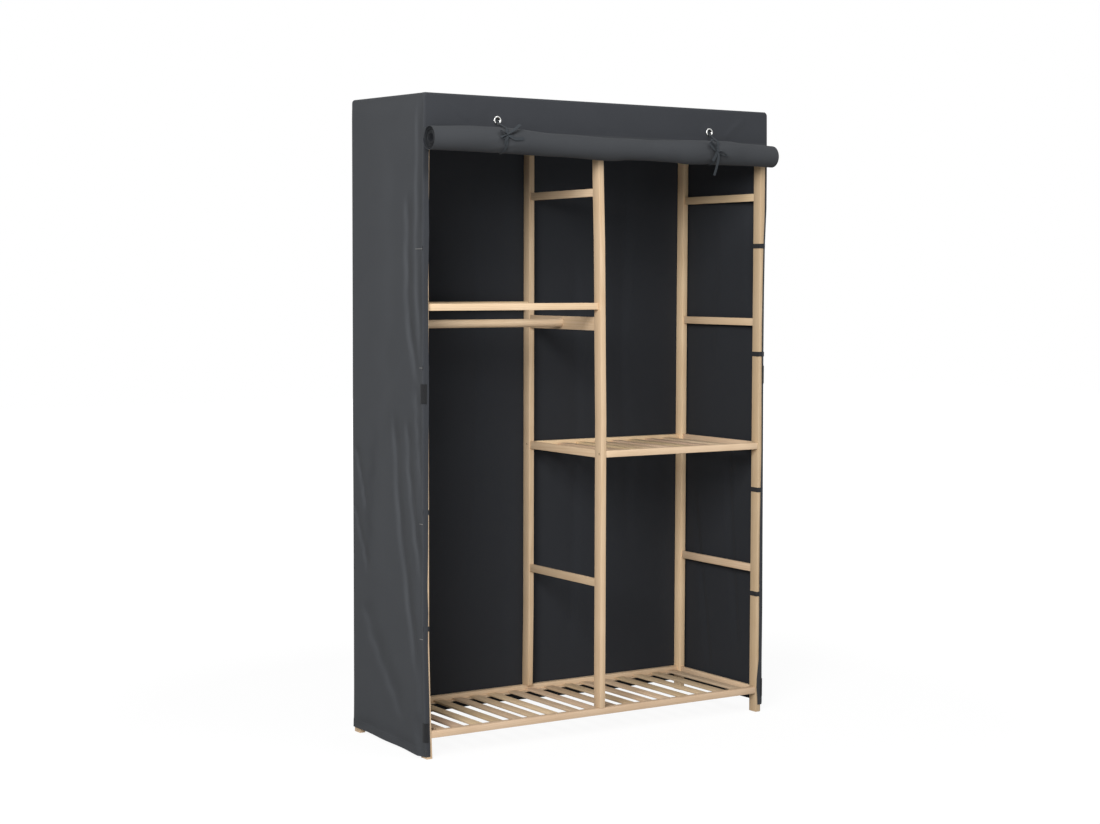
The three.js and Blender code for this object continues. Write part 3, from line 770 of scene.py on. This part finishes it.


# How many millimetres wide each strip shows at each height in metres. Its top has a painted shadow of the
# roll.
strip = {
    "turnedBack": 0.0065,
    "turn": 0.0004,
    "thickness": 0.0006,
    "step": 0.0008,
    "lowest": {"left": 0.007, "right": 0.021},
    "shade": -0.8,
    "shadeFrom": 1.46,
    "shadeReach": 0.06,
    "widths": {
        "left": [(0, 12), (0.16, 14.5), (0.28, 14), (0.38, 15.5), (0.44, 13.3), (0.53, 15.1), (0.79, 16.8),
                 (0.95, 18.4), (1.07, 17.2), (1.2, 16), (1.35, 19), (1.45, 17), (1.6, 16)],
        "right": [(0, 16), (0.04, 18), (0.07, 21), (0.095, 20), (0.15, 13.5), (0.38, 14), (0.55, 12.8),
                  (0.75, 7.8), (1.11, 8.3), (1.28, 7.5), (1.45, 7), (1.6, 7)],
    },
}


def frontStrip(side, cloths):
    # its free edge turns back behind it as a narrow hem
    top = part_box(f"{side}_front_strip")[1].z
    lowest = strip["lowest"][side]
    heights, widths = np.array(strip["widths"][side]).T
    widths = widths * mm
    height = top - lowest
    face = float(np.mean(np.interp(np.linspace(lowest, top, 200), heights, widths)))
    width = face + strip["turnedBack"]

    def placeAt(u, v):
        fromFree = u if side == "right" else width - u
        shown = np.interp(lowest + v, heights, widths)
        past = strip["turnedBack"] - fromFree
        radius = strip["turn"]
        angle = np.clip(past / radius, 0, math.pi)
        outward = np.where(past < 0, -past * shown / face, 0) - radius * np.sin(angle)
        outward = outward + np.maximum(past - math.pi * radius, 0)
        place = shown - outward if side == "left" else 2 * halfWidth - shown + outward
        x, y, z = wallPlaces("front", place, lowest + v, -radius * (1 - np.cos(angle)))
        # painted shadow of the roll on the strip's top
        return x, y, z, strip["shade"] * ease((z - strip["shadeFrom"]) / strip["shadeReach"])

    across, up = gridLines(0, width, strip["step"]), gridLines(0, height, cover["step"])
    piece = makeSheet(f"{side}FrontStrip", across, up, placeAt)
    area = madeCloth(piece, cloths, f"{side}_front_strip", thickness=strip["thickness"])


def makeCover():
    outside = clothFinish("coverCloth", cloth["side"])
    # a darker copy of the cover cloth: painted shade on the front
    front = clothFinish("frontCloth", cloth["front"])
    inside = clothFinish("coverInside", cloth["inside"], cloth["insideMottle"], paleTop=cloth["paleTop"])
    makeStitches(sidePanel("left", leftFolds, (outside, inside)))
    sidePanel("right", rightFolds, (outside, inside))
    backPanel((outside, inside))
    topPanel((outside, inside))
    valance((front, inside))
    for side in ("left", "right"):
        frontStrip(side, (front, inside))
    print("cover made")


# The curtain: its flat drop and its roll. The stations lie along the roll, from the middle of the cover, in
# metres. The roll's rise above its middle and its radius at each are in millimetres.
curtain = {
    "stations": (-0.56, -0.42, -0.347, -0.165, 0.0, 0.05, 0.125, 0.19, 0.255, 0.321, 0.385, 0.435, 0.569),
    "rises": (3.5, 5.8, 4.5, -1.6, -6.0, -3.5, -4.1, -3.4, -3.9, -3.0, -2.0, -4.1, -6.6),
    "radii": (30.5, 33.8, 34.5, 30.6, 31.2, 29.6, 28.6, 30.6, 33.8, 33.6, 33.5, 31.1, 30.3),
    "tied": (-0.347, 0.321),
    "endReach": 0.0012,
    "endRecess": 0.006,
    "endShade": 1.0,
    "pleat": 0.0009,
    "pleatReach": 0.03,
    "waist": 0.0012,  # how far a tie draws the roll in
    "waistReach": 0.016,
    "coreShare": 0.36,
    "turns": 12,
    "stepsPerTurn": 32,
    "step": 0.022,
    "dropStep": 0.012,
    "dropRows": 80,
    "flute": 0.002,
    "keep": 0.12,  # of its thickness, once the curtain is down
    "downClear": 0.0022,  # from the drop's back to the roll's, once the curtain is down
}


def alongRoll(x, values):
    # values at the stations, eased from each to the next
    stations = np.array(curtain["stations"]) + coverMiddle.x
    values = np.array(values) * mm
    index = np.clip(np.searchsorted(stations, x) - 1, 0, len(stations) - 2)
    share = ease((x - stations[index]) / (stations[index + 1] - stations[index]))
    return values[index] + (values[index + 1] - values[index]) * share


def rollRadius(x):
    radius = alongRoll(x, curtain["radii"])
    for station in curtain["tied"]:
        radius = radius - curtain["waist"] * bell((x - coverMiddle.x - station) / curtain["waistReach"])
    return radius


def rollCentre(x):
    return rollMiddle.z + alongRoll(x, curtain["rises"])


def makeRoll(cloths):
    turns, core = curtain["turns"], curtain["coreShare"]
    length = dropHigh.x - dropLow.x + curtain["endReach"]
    finePlaces = [0, length, *[station + coverMiddle.x - dropLow.x for station in curtain["tied"]]]
    across = gridLines(0, length, curtain["step"], [(place, 0.03, 0.006) for place in finePlaces])
    wound = 2 * math.pi * turns * (1 + core) / 2 * (rollHigh.z - rollLow.z) / 2
    around = np.linspace(0, wound, turns * curtain["stepsPerTurn"] + 1)

    def placeAt(u, v):
        # equal steps of cloth give equal steps of area round the roll
        reach = np.sqrt(core**2 + (1 - core**2) * v / wound)
        turn = (reach - core) / (1 - core) * turns
        angle = 2 * math.pi * (turn - turns)
        uneven = 0.0016 * np.sin(2.3 * turn + 1) + 0.001 * np.sin(5.1 * turn)
        outer = ease((turn - turns + 1.2) / 0.4)
        ends = (1 - ease(u / 0.05)) - (1 - ease((length - u) / 0.05))
        x = dropLow.x + u + (1 - outer) * (uneven + curtain["endRecess"]) * ends
        # painted shade on the inner turns at the roll's ends
        paler = -curtain["endShade"] * (1 - ease((turn - turns + 1.1) / 0.2)) * np.abs(ends)
        swell = 1 + 0.012 * np.sin(2 * angle + 5 * x) * np.sin(8 * x + 1)
        swell = swell + 0.008 * np.sin(3 * angle + 31 * x)
        for station in curtain["tied"]:
            away = x - coverMiddle.x - station
            pleats = np.sin(9 * angle + 60 * away) * bell(away / curtain["pleatReach"])
            swell = swell + curtain["pleat"] / 0.03 * pleats
        radius = rollRadius(x) * reach * (1 + (swell - 1) * np.clip(np.abs(angle) / 2.0, 0, 1))
        y = dropBack - rollRadius(x) + radius * np.cos(angle)
        return x, y, rollCentre(x) + radius * np.sin(angle), paler

    roll = makeSheet("curtainRoll", across, around, placeAt)
    edit(roll)
    bpy.ops.mesh.flip_normals()
    objectMode()
    madeCloth(roll, cloths, "curtain_roll", "roll")
    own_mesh(roll)
    return wound


def makeDrop(cloths):
    length = dropHigh.x - dropLow.x
    height = dropHigh.z - (rollMiddle.z + min(curtain["rises"]) * mm)

    def placeAt(u, v):
        x = dropLow.x + u
        share = v / height
        bottom = rollCentre(x)
        flutes = 0.5 + 0.3 * np.sin(33 * x + 1) + 0.2 * np.sin(71 * x)
        y = dropBack - cloth["thickness"] - curtain["flute"] * flutes * np.sin(math.pi * share)
        return x, y, bottom + (dropHigh.z - bottom) * share

    across = gridLines(0, length, curtain["dropStep"])
    drop = makeSheet("curtainDrop", across, np.linspace(0, height, curtain["dropRows"]), placeAt)
    area = madeCloth(drop, cloths, "curtain_drop", body=None)
    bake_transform(drop)


def makeCurtain():
    outside = clothFinish("curtainCloth", cloth["roll"])
    inside = clothFinish("curtainInside", cloth["inside"], cloth["insideMottle"])
    wound = makeRoll((outside, inside))
    makeDrop((outside, inside))
    print(f"curtain made, {wound:.3f} m of it rolled up")


# Ties: flat tape through the eyelets and round the roll, tied in a bow


def curveThrough(points, steps):
    # a smooth run through points, with steps places from each to the next
    points = np.array(points, float)
    padded = np.vstack((2 * points[0] - points[1], points, 2 * points[-1] - points[-2]))
    shares = np.linspace(0, 1, steps, endpoint=False)[:, None]
    run = []
    for a, b, c, d in zip(padded, padded[1:], padded[2:], padded[3:]):
        cubic = (-a + 3 * b - 3 * c + d) * shares**3 + (2 * a - 5 * b + 4 * c - d) * shares**2
        run.append(0.5 * (cubic + (c - a) * shares + 2 * b))
    return np.vstack((*run, points[-1:]))


tape = {
    "width": 0.008,
    "thickness": 0.001,
    "steps": 8,
    "keep": 0.1,  # of its depth, once the curtain is down
    "weavePitch": 0.0009,
    "inEyelet": [(4.5, 14), (3.5, 2), (-3.0, -6)],  # behind the cover's front and above the eyelet's middle
    "overRoll": 0.0014,
    "topDegrees": 118,  # round the roll, where the tape comes down on it
    "slack": 0.004,  # behind the roll
    "behind": 0.0035,
    "belowEyelet": 0.018,
    "knotRadius": 0.0034,
    "knotThickness": 0.0026,
    "knotTurn": (0.25, math.radians(90), 0.35),
    "knotScale": (1, 0.8, 1.05769),
}

# Each tie's knot from the cover's middle, in metres, and its loops and tails from the knot: whether the
# tape lies flat on the roll, and its way across, towards the rear and up, in millimetres
ties = {
    "left": {
        "knot": (-0.351, -0.268, 1.5985),
        "tapes": [
            (False, [(0, 0, 0), (-8, -3, 5), (-20, -4, 9.5), (-19, -2, 3), (-8, 0, -1), (0, 0, 0)]),
            (False, [(0, 0, 0), (-9, -3, -3), (-19, -3, -8), (-15, -1, -12), (-6, 0, -6), (0, 0, 0)]),
            (False, [(0, -1, 0), (12, -4, 7), (24, -3, 15), (36, 3, 22), (46, 9, 26.5)]),
            (True, [(0, -1, 0), (10, -3, -6), (22, -3, -11), (36, -2, -11), (50, -1, -9)]),
            (True, [(0, 0, 0), (-1, -3, -8), (-5, -2, -17), (-4, 1, -27)]),
        ],
    },
    "right": {
        "knot": (0.321, -0.27, 1.58),
        "tapes": [
            (False, [(0, 0, 0), (-10, -3, 12), (-20, -2, 27), (-12, 1, 30), (-6, 0, 16), (0, 0, 0)]),
            (True, [(0, 0, 0), (-13, -3, 6), (-25, -2, 17), (-18, 0, 21), (-6, 0, 8), (0, 0, 0)]),
            (False, [(0, 0, 0), (12, -4, 1), (30, -3, -9), (20, -2, -11), (6, 0, -4), (0, 0, 0)]),
            (True, [(0, -1, 0), (1, -6, -14), (-3, -6, -32), (-6, -3, -50), (-9, 1, -66)]),
            (True, [(0, 0, 0), (-6, -3, -12), (-16, -1, -27)]),
        ],
    },
}


def makeTape(name, points, facings, width=tape["width"], steps=tape["steps"]):
    # a flat tape through points; facings say which way its flat side looks at each
    run = curveThrough(points, steps)
    length = np.concatenate(([0], np.cumsum(np.linalg.norm(np.diff(run, axis=0), axis=1))))
    sideways = np.cross(np.gradient(run, axis=0), curveThrough(facings, steps))
    sideways /= np.linalg.norm(sideways, axis=1)[:, None]

    def placeAt(u, v):
        index = np.rint(np.interp(v, length, np.arange(len(length)))).astype(int)
        return (run[index] + sideways[index] * u[:, None]).T

    piece = makeSheet(name, np.linspace(-width / 2, width / 2, 5), length, placeAt)
    return thickened(piece, tape["thickness"], offset=0.0)


def tieTapes(side, eyelet, knot):
    # one from inside the cover through the eyelet and over the roll to the knot, and one from there under
    # the roll and back up behind it
    rollHere = float(rollRadius(knot.x))
    radius = rollHere + tape["overRoll"]
    centreY, centreZ = dropBack - rollHere, float(rollCentre(knot.x))

    def around(x, angle, slack=0):
        out = radius + slack * max(math.cos(angle), 0)
        points.append(Vector((x, centreY + out * math.cos(angle), centreZ + radius * math.sin(angle))))
        facings.append((0, math.cos(angle), math.sin(angle)))

    knotAngle = math.atan2(knot.z - centreZ, knot.y - centreY)
    topAngle = math.radians(tape["topDegrees"])
    points = [Vector((eyelet.x, frontCloth + back * mm, eyelet.z + up * mm)) for back, up in tape["inEyelet"]]
    facings = [(0, 1, 0), (0, 0.6, 0.8), (0, -0.6, 0.8)]
    for share in (0.0, 0.35, 0.7):
        x = eyelet.x + (knot.x - eyelet.x) * (0.35 + 0.6 * share)
        around(x, topAngle + share * (knotAngle - topAngle))
    points.append(knot + Vector((0, 0.001, 0)))
    facings.append((0, -1, 0.3))
    upper = makeTape(f"{side}TieUpper", points, facings)
    points, facings = [knot + Vector((0, 0.002, 0))], [(0, -1, 0)]
    start = knotAngle % (2 * math.pi)
    for share in np.linspace(0.12, 1, 9):
        around(knot.x, start + share * (2 * math.pi - start), tape["slack"])
    behind = frontCloth + tape["behind"]
    points.append(Vector((knot.x + 0.3 * (eyelet.x - knot.x), behind, valanceBottom)))
    points.append(Vector((eyelet.x, behind, eyelet.z - tape["belowEyelet"])))
    facings += [(0, 1, 0)] * 2
    return [upper, makeTape(f"{side}TieLower", points, facings)]


def makeKnot(side, knot):
    sizes = {"major_radius": tape["knotRadius"], "minor_radius": tape["knotThickness"]}
    sizes.update({"major_segments": 24, "minor_segments": 10, "location": knot})
    add = bpy.ops.mesh.primitive_torus_add
    return smoothed(made(add, f"{side}Knot", tape["knotTurn"], tape["knotScale"], **sizes), 60)


def makeTies():
    material = clothFinish("tieTape", cloth["tape"], pitch=tape["weavePitch"])
    for (side, values), eyelet in zip(ties.items(), eyeletPlaces()):
        knot = fromCover(*values["knot"])
        pieces = [*tieTapes(side, eyelet, knot), makeKnot(side, knot)]
        for index, (isFlat, run) in enumerate(values["tapes"]):
            points = [knot + Vector(point) * mm for point in run]
            facings = [(0.15, -1, 0.2) if isFlat else (0.1 * number, -0.45, 1) for number in range(len(run))]
            pieces.append(makeTape(f"{side}Bow{index}", points, facings))
        tie = dressed(joinedPieces(f"{side}Tie", pieces), material)
        placed(tie, f"{side}_tie")
        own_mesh(tie)
    print("ties made")


# Eyelets: a rolled metal rim on the front, a barrel, and a washer behind the cloth
metal = {
    "outerShare": 1.12,  # of the CAD eyelet's radius
    "boreShare": 0.62,
    "rimPlace": -0.0006,  # behind the cover's front
    "rimDepth": 0.0013,
    "barrelPlace": 0.0004,
    "barrelGap": 0.0006,
    "barrel": (0.0005, 0.0016),
    "washerPlace": 0.0016,
    "washerDepth": 0.0005,
    "low": (205, 205, 202),
    "high": (232, 232, 230),
}


def spunRing(name, middle, radius, section):
    # a ring of this radius whose section is half this wide and deep, spun round the Y axis
    sizes = {"vertices": 16, "radius": 1, "location": (radius, 0, 0)}
    ring = made(bpy.ops.mesh.primitive_circle_add, name, scale=(*section, 1), **sizes)
    edit(ring)
    bpy.ops.mesh.spin(steps=48, angle=2 * math.pi, center=(0, 0, 0), axis=(0, 1, 0))
    bpy.ops.mesh.select_all(action="SELECT")
    bpy.ops.mesh.remove_doubles(threshold=1e-6)
    bpy.ops.mesh.normals_make_consistent(inside=False)
    objectMode()
    ring.location = middle
    return smoothed(settle(ring), 60)


def makeEyelets():
    steel = steelFinish("eyeletSteel", metal["low"], metal["high"])
    for side, middle in zip(("left", "right"), eyeletPlaces()):
        low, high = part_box(f"{side}_eyelet")
        outer = (high.x - low.x) / 2 * metal["outerShare"]
        bore = outer * metal["boreShare"]
        rim = (outer - bore) / 2
        rings = {
            "Rim": (metal["rimPlace"], bore + rim, (rim, metal["rimDepth"])),
            "Barrel": (metal["barrelPlace"], bore + metal["barrelGap"], metal["barrel"]),
            "Washer": (metal["washerPlace"], bore + rim, (rim, metal["washerDepth"])),
        }
        pieces = []
        for word, (behind, radius, section) in rings.items():
            place = (middle.x, frontCloth + behind, middle.z)
            pieces.append(spunRing(side + word, place, radius, section))
        placed(dressed(joinedPieces(f"{side}Eyelet", pieces), steel), f"{side}_eyelet")
    print("eyelets made")


# Straps round the front posts, and hook-and-loop patches. Each patch wraps a little round the cover's front
# edge: how far back on the side, and how far in on the front.
strap = {
    "half": 0.0004,  # of its thickness
    "turn": 0.002,
    "tone": (30, 31, 34),
    "pitch": 0.0016,
}
patch = {
    "gap": 0.0008,
    "tone": (14, 15, 18),
    "pitch": 0.0011,
    "reaches": {
        "left_upper_patch": (0.009, 0.0115),
        "left_lower_patch": (0.013, 0.0085),
        "right_upper_patch": (0.015, 0.0075),
        "right_lower_patch": (0.013, 0.0085),
    },
}


def makeBand(name, word, material, side, plan, steps, isCloth):
    # a tape that stands upright along a plan of places, each with the way that it faces
    low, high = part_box(name)
    z = (low.z + high.z) / 2
    points = [(x + float(leanAt(x, y, z, isCloth)[0]), y, z) for x, y, *_ in plan]
    facings = [(side * outX, outY, 0) for _, _, outX, outY in plan]
    piece = makeTape(name + word, points, facings, width=high.z - low.z, steps=steps)
    placed(dressed(piece, material), name)


def makeStrap(name, material):
    low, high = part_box(name)
    side = -1 if low.x < coverMiddle.x else 1
    sewn, inner = (low.x, high.x) if side < 0 else (high.x, low.x)
    front, rear = low.y + strap["half"], high.y - strap["half"]
    inner += side * strap["half"]
    turn, cut = strap["turn"], strap["turn"] * 0.3
    plan = [(sewn, front, 0, -1), (inner + side * turn, front, 0, -1)]
    plan += [(inner + side * cut, front + cut, -1, -1), (inner, front + turn, -1, 0)]
    plan.append((inner, (front + rear) / 2, -1, 0))
    plan += [(x, front + rear - y, outX, -outY) for x, y, outX, outY in reversed(plan[:4])]
    makeBand(name, "Webbing", material, side, plan, 4, isCloth=False)


def makePatch(name, material):
    side = -1 if name.startswith("left") else 1
    onSide, onFront = patch["reaches"][name]
    edge, gap, bend = coverMiddle.x + side * halfWidth, patch["gap"], cover["edgeRadius"]
    plan = [(edge + side * gap, frontCloth + onSide, 1, 0)]
    for degrees in (0, 22.5, 45, 67.5, 90):
        outX, outY = math.cos(math.radians(degrees)), -math.sin(math.radians(degrees))
        x = edge - side * bend + (bend + gap) * side * outX
        plan.append((x, frontCloth + bend + (bend + gap) * outY, outX, outY))
    plan.append((edge - side * onFront, frontCloth - gap, 0, -1))
    makeBand(name, "Tape", material, side, plan, 3, isCloth=True)


def makeFastenings():
    webbing = webbingFinish("elasticWebbing", strap["tone"], strap["pitch"], 0.6)
    hooks = webbingFinish("hookAndLoop", patch["tone"], patch["pitch"], 1.0)
    for side in ("left", "right"):
        for number in range(1, 5):
            makeStrap(f"{side}_strap_{number}", webbing)
        for place in ("upper", "lower"):
            makePatch(f"{side}_{place}_patch", hooks)
    print("straps and patches made")


# The frame: each timber is a section drawn out along its length, leaning as its post does
timber = {
    "bevel": 0.0011,
    "rodBevel": 0.0008,
    "spans": 12,  # of a rail, so that it follows the cover's leaning top
    # how bright each timber is made: partly its own tone, partly painted light and shade for how lit it is, as
    # the painted shade on the middle rear post
    "gains": {
        "left_front_crossbar": 1.08,
        "left_rear_crossbar": 1.04,
        "left_rod_brace": 0.82,
        "middle_rod_brace": 0.82,
        "middle_front_post": 0.92,
        "middle_rear_post": 0.88,
        "right_front_post": 0.8,
        "right_rear_post": 1.22,
        "shelf_front_rail": 1.03,
        "shelf_rear_rail": 1.05,
        "bottom_front_rail": 0.93,
        "middle_lower_rung": 0.84,
    },
}


def drawnOut(name, node, along):
    low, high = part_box(node)
    axis = "xyz".index(along)
    middle, size = (low + high) / 2, high - low
    stations = [low[axis], high[axis]]
    if along == "z":
        stations[1:1] = [height for height in lean["heights"] if low.z + 0.01 < height < high.z - 0.01]
    elif along == "x":
        stations[1:1] = list(np.linspace(low.x, high.x, timber["spans"] + 1)[1:-1])
    places = []
    for station in stations:
        place = middle.copy()
        place[axis] = station
        right, up = leanAt(place.x, place.y, place.z)
        places.append(place + Vector((float(right), 0, float(up))))
    turn = {"x": (0, quarter, 0), "y": (quarter, 0, 0), "z": (0, 0, 0)}[along]
    scale = {"x": (size.z, size.y, 1), "y": (size.x, size.z, 1), "z": (size.x, size.y, 1)}[along]
    piece = made(bpy.ops.mesh.primitive_plane_add, name, turn, scale, size=1, location=places[0])
    edit(piece)
    for start, end in zip(places, places[1:]):
        bpy.ops.mesh.extrude_region_move(TRANSFORM_OT_translate={"value": end - start})
    bpy.ops.mesh.select_all(action="SELECT")
    bpy.ops.mesh.normals_make_consistent(inside=False)
    objectMode()
    return bevelled(piece, timber["bevel"])


def makeTimbers():
    for number, name in enumerate(sorted(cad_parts)):
        if any(word in name for word in ("post", "rail", "rung", "crossbar", "brace")):
            low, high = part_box(name)
            size = high - low
            along = "xyz"[max(range(3), key=lambda axis: size[axis])]
            draw = random.Random(number)
            tint = (1, draw.uniform(0.97, 1.0), draw.uniform(0.93, 1.0))
            gain = timber["gains"].get(name, draw.uniform(0.94, 1.04))
            first, *others = name.split("_")
            piece = drawnOut(first + "".join(word.title() for word in others), name, along)
            placed(dressed(piece, pineFinish(name + "Pine", along, number, gain, tint)), name)
    print("timbers made")


# The ends are from the side rungs' posts to the first slat and from the last one, and the shares give
# each slat's place on the way from the first to the last
slat = {
    "width": 0.029,
    "thickness": 0.006,
    "bevel": 0.0013,
    "wander": 0.0004,
    "margin": 0.001,
    "cleatGap": 0.0002,
    "cleatDepth": 0.01,
    "cleatBevel": 0.0008,
    "gains": (0.8, 0.98, 0.88, 1.06, 0.92, 0.84),
    "bottomEnds": (0.041, 0.007),
    "bottomShares": (0, 0.058, 0.117, 0.18, 0.242, 0.3, 0.36, 0.428, 0.49, 0.554, 0.617, 0.679, 0.74, 0.805,
                     0.873, 0.937, 1),
    "shelfEnds": (0.032, 0.032),
    "shelfShares": (0, 0.143, 0.286, 0.429, 0.571, 0.714, 0.857, 1),
}


def roundedBar(name, low, high, bevel):
    bar = made(bpy.ops.mesh.primitive_cube_add, name, scale=high - low, size=1, location=(low + high) / 2)
    return bevelled(bar, bevel, segments=3, degrees=30)


def makeDeck(node, name, ends, shares, seed):
    low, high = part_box(node)
    draw = random.Random(seed)
    margin = slat["margin"]
    first = low.x - slat["cleatGap"] + ends[0]
    run = high.x + slat["cleatGap"] - ends[1] - slat["width"] - first
    bars = []
    for number, share in enumerate(shares):
        x = first + share * run + draw.uniform(-1, 1) * slat["wander"]
        lift = draw.uniform(-1, 0) * slat["wander"]
        start = Vector((x, low.y + margin, high.z - slat["thickness"] + lift))
        end = Vector((x + slat["width"], high.y - margin, high.z + lift))
        bar = roundedBar(f"{name}Slat{number}", start, end, slat["bevel"])
        gain = slat["gains"][(number * 5 + seed) % len(slat["gains"])]
        tint = (1, draw.uniform(0.95, 1.01), draw.uniform(0.9, 1.02))
        bars.append(dressed(bar, pineFinish(f"{name}Pine{number}", "y", seed * 100 + number, gain, tint)))
    cleatTop = high.z - slat["thickness"] + margin
    cleatPine = pineFinish(name + "CleatPine", "x", seed * 7, 0.8)
    for edge in (low.y, high.y - slat["cleatDepth"]):
        start, end = Vector((low.x, edge, low.z)), Vector((high.x, edge + slat["cleatDepth"], cleatTop))
        bars.append(dressed(roundedBar(f"{name}Cleat", start, end, slat["cleatBevel"]), cleatPine))
    placed(joinedPieces(name, bars), node)


def makeRod():
    low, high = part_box("hanging_rod")
    for end in (low, high):
        end.x += float(leanAt(end.x, end.y, end.z)[0])
    sizes = {"vertices": 48, "radius": (high.z - low.z) / 2, "depth": high.x - low.x}
    sizes["location"] = (low + high) / 2
    rod = made(bpy.ops.mesh.primitive_cylinder_add, "clothesRod", (0, quarter, 0), **sizes)
    bevelled(rod, timber["rodBevel"])
    placed(dressed(rod, pineFinish("rodPine", "x", 77, 1.02)), "hanging_rod")


# Screw heads in the middle posts' left faces: how far behind the post's front face, and how high
screw = {
    "radius": 0.003,
    "proud": 0.0004,
    "sunk": 0.0012,
    "socket": 0.0013,
    "low": (78, 62, 46),
    "high": (112, 92, 70),
    "places": {"middle_front_post": (0.0081, 0.7621), "middle_rear_post": (0.0109, 0.7641)},
}


def makeScrews():
    steel = steelFinish("screwSteel", screw["low"], screw["high"])
    depth = screw["proud"] + screw["sunk"]
    for post, (behind, z) in screw["places"].items():
        low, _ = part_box(post)
        y = low.y + behind
        place = (low.x + float(leanAt(low.x, y, z)[0]) - screw["proud"] + depth / 2, y, z)
        sizes = {"vertices": 24, "radius": screw["radius"], "depth": depth, "location": place}
        name = post.split("_")[1] + "Screw"
        head = made(bpy.ops.mesh.primitive_cylinder_add, name, (0, -quarter, 0), **sizes)
        editFaces(head, lambda face: face.normal.x < -0.9)
        bpy.ops.mesh.inset(thickness=screw["radius"] - screw["socket"])
        bpy.ops.transform.translate(value=(screw["proud"] + screw["sunk"] / 2, 0, 0))
        objectMode()
        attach(dressed(head, steel), "frame_and_cover")


def makeTimber():
    makeTimbers()
    makeScrews()
    makeDeck("bottom_slat_deck", "bottomDeck", slat["bottomEnds"], slat["bottomShares"], 3)
    makeDeck("shelf_slat_deck", "shelfDeck", slat["shelfEnds"], slat["shelfShares"], 5)
    makeRod()
    print("decks and rod made")


# The set: a pale floor, a white surround, soft lamps
studio = {
    "floorHalf": 14.0,
    "floorGlow": 1.15,
    "floorShare": 0.8,
    "floorReach": (1.2, 4.0),
    "floorTone": (0.5, 0.5, 0.5, 1),
    "white": (1, 1, 1, 1),
    "ambient": 0.42,
    "lamps": [
        {"name": "leftWindow", "place": (-4.2, -3.75, 3.1), "size": 2.8, "watts": 305},
        {"name": "frontFill", "place": (1.6, -5.2, 2.4), "size": 3.0, "watts": 12},
        {"name": "overhead", "place": (0.6, -2.2, 4.6), "size": 1.6, "watts": 28},
    ],
    "aim": (0, 0, 0.85),
}


def makeFloor():
    floor = made(bpy.ops.mesh.primitive_plane_add, "floor", size=2 * studio["floorHalf"])
    finish = Finish(bpy.data.materials.new("paleFloor"))
    matt = finish.add("BsdfDiffuse", {"Color": studio["floorTone"]})
    glow = finish.add("Emission", {"Color": studio["white"], "Strength": studio["floorGlow"]})
    away = finish.add("VectorMath", {0: finish.place()}, out=1, operation="LENGTH")
    near, end = studio["floorReach"]
    far = finish.add("MapRange", {0: away, 1: near, 2: end, 3: studio["floorShare"], 4: 1.0})
    shader = finish.add("MixShader", {0: finish.add("LightPath") * far, 1: matt, 2: glow})
    finish.add("OutputMaterial", {"Surface": shader})
    dressed(floor, finish.owner)


def makeSurround():
    # pure white where it is looked at, and dimmer where it lights the wardrobe
    world = Finish(bpy.data.worlds.new("surround"))
    rays = world.add("LightPath").socket.node.outputs
    seen, glossy = [Value(world, rays[f"Is {word} Ray"]) for word in ("Camera", "Glossy")]
    dim, bright = [
        world.add("Background", {"Color": studio["white"], "Strength": strength})
        for strength in (studio["ambient"], 1.0)
    ]
    mixed = world.add("MixShader", {0: seen.combined("MAXIMUM", glossy), 1: dim, 2: bright})
    world.add("OutputWorld", {"Surface": mixed})
    bpy.context.scene.world = world.owner


def makeLamps():
    for lamp in studio["lamps"]:
        data = bpy.data.lights.new(lamp["name"], "AREA")
        data.shape = "DISK"
        data.size = lamp["size"]
        data.energy = lamp["watts"]
        item = bpy.data.objects.new(lamp["name"], data)
        item.location = fromCover(*lamp["place"])
        away = fromCover(*studio["aim"]) - item.location
        item.rotation_euler = away.to_track_quat("-Z", "Y").to_euler()
        bpy.context.scene.collection.objects.link(item)


def makeStudio():
    makeFloor()
    makeSurround()
    makeLamps()
    bpy.context.scene.view_settings.view_transform = "Standard"
    print("studio ready")


makeCamera()
makeTies()
makeCover()
makeCurtain()
makeEyelets()
makeFastenings()
makeTimber()
makeStudio()
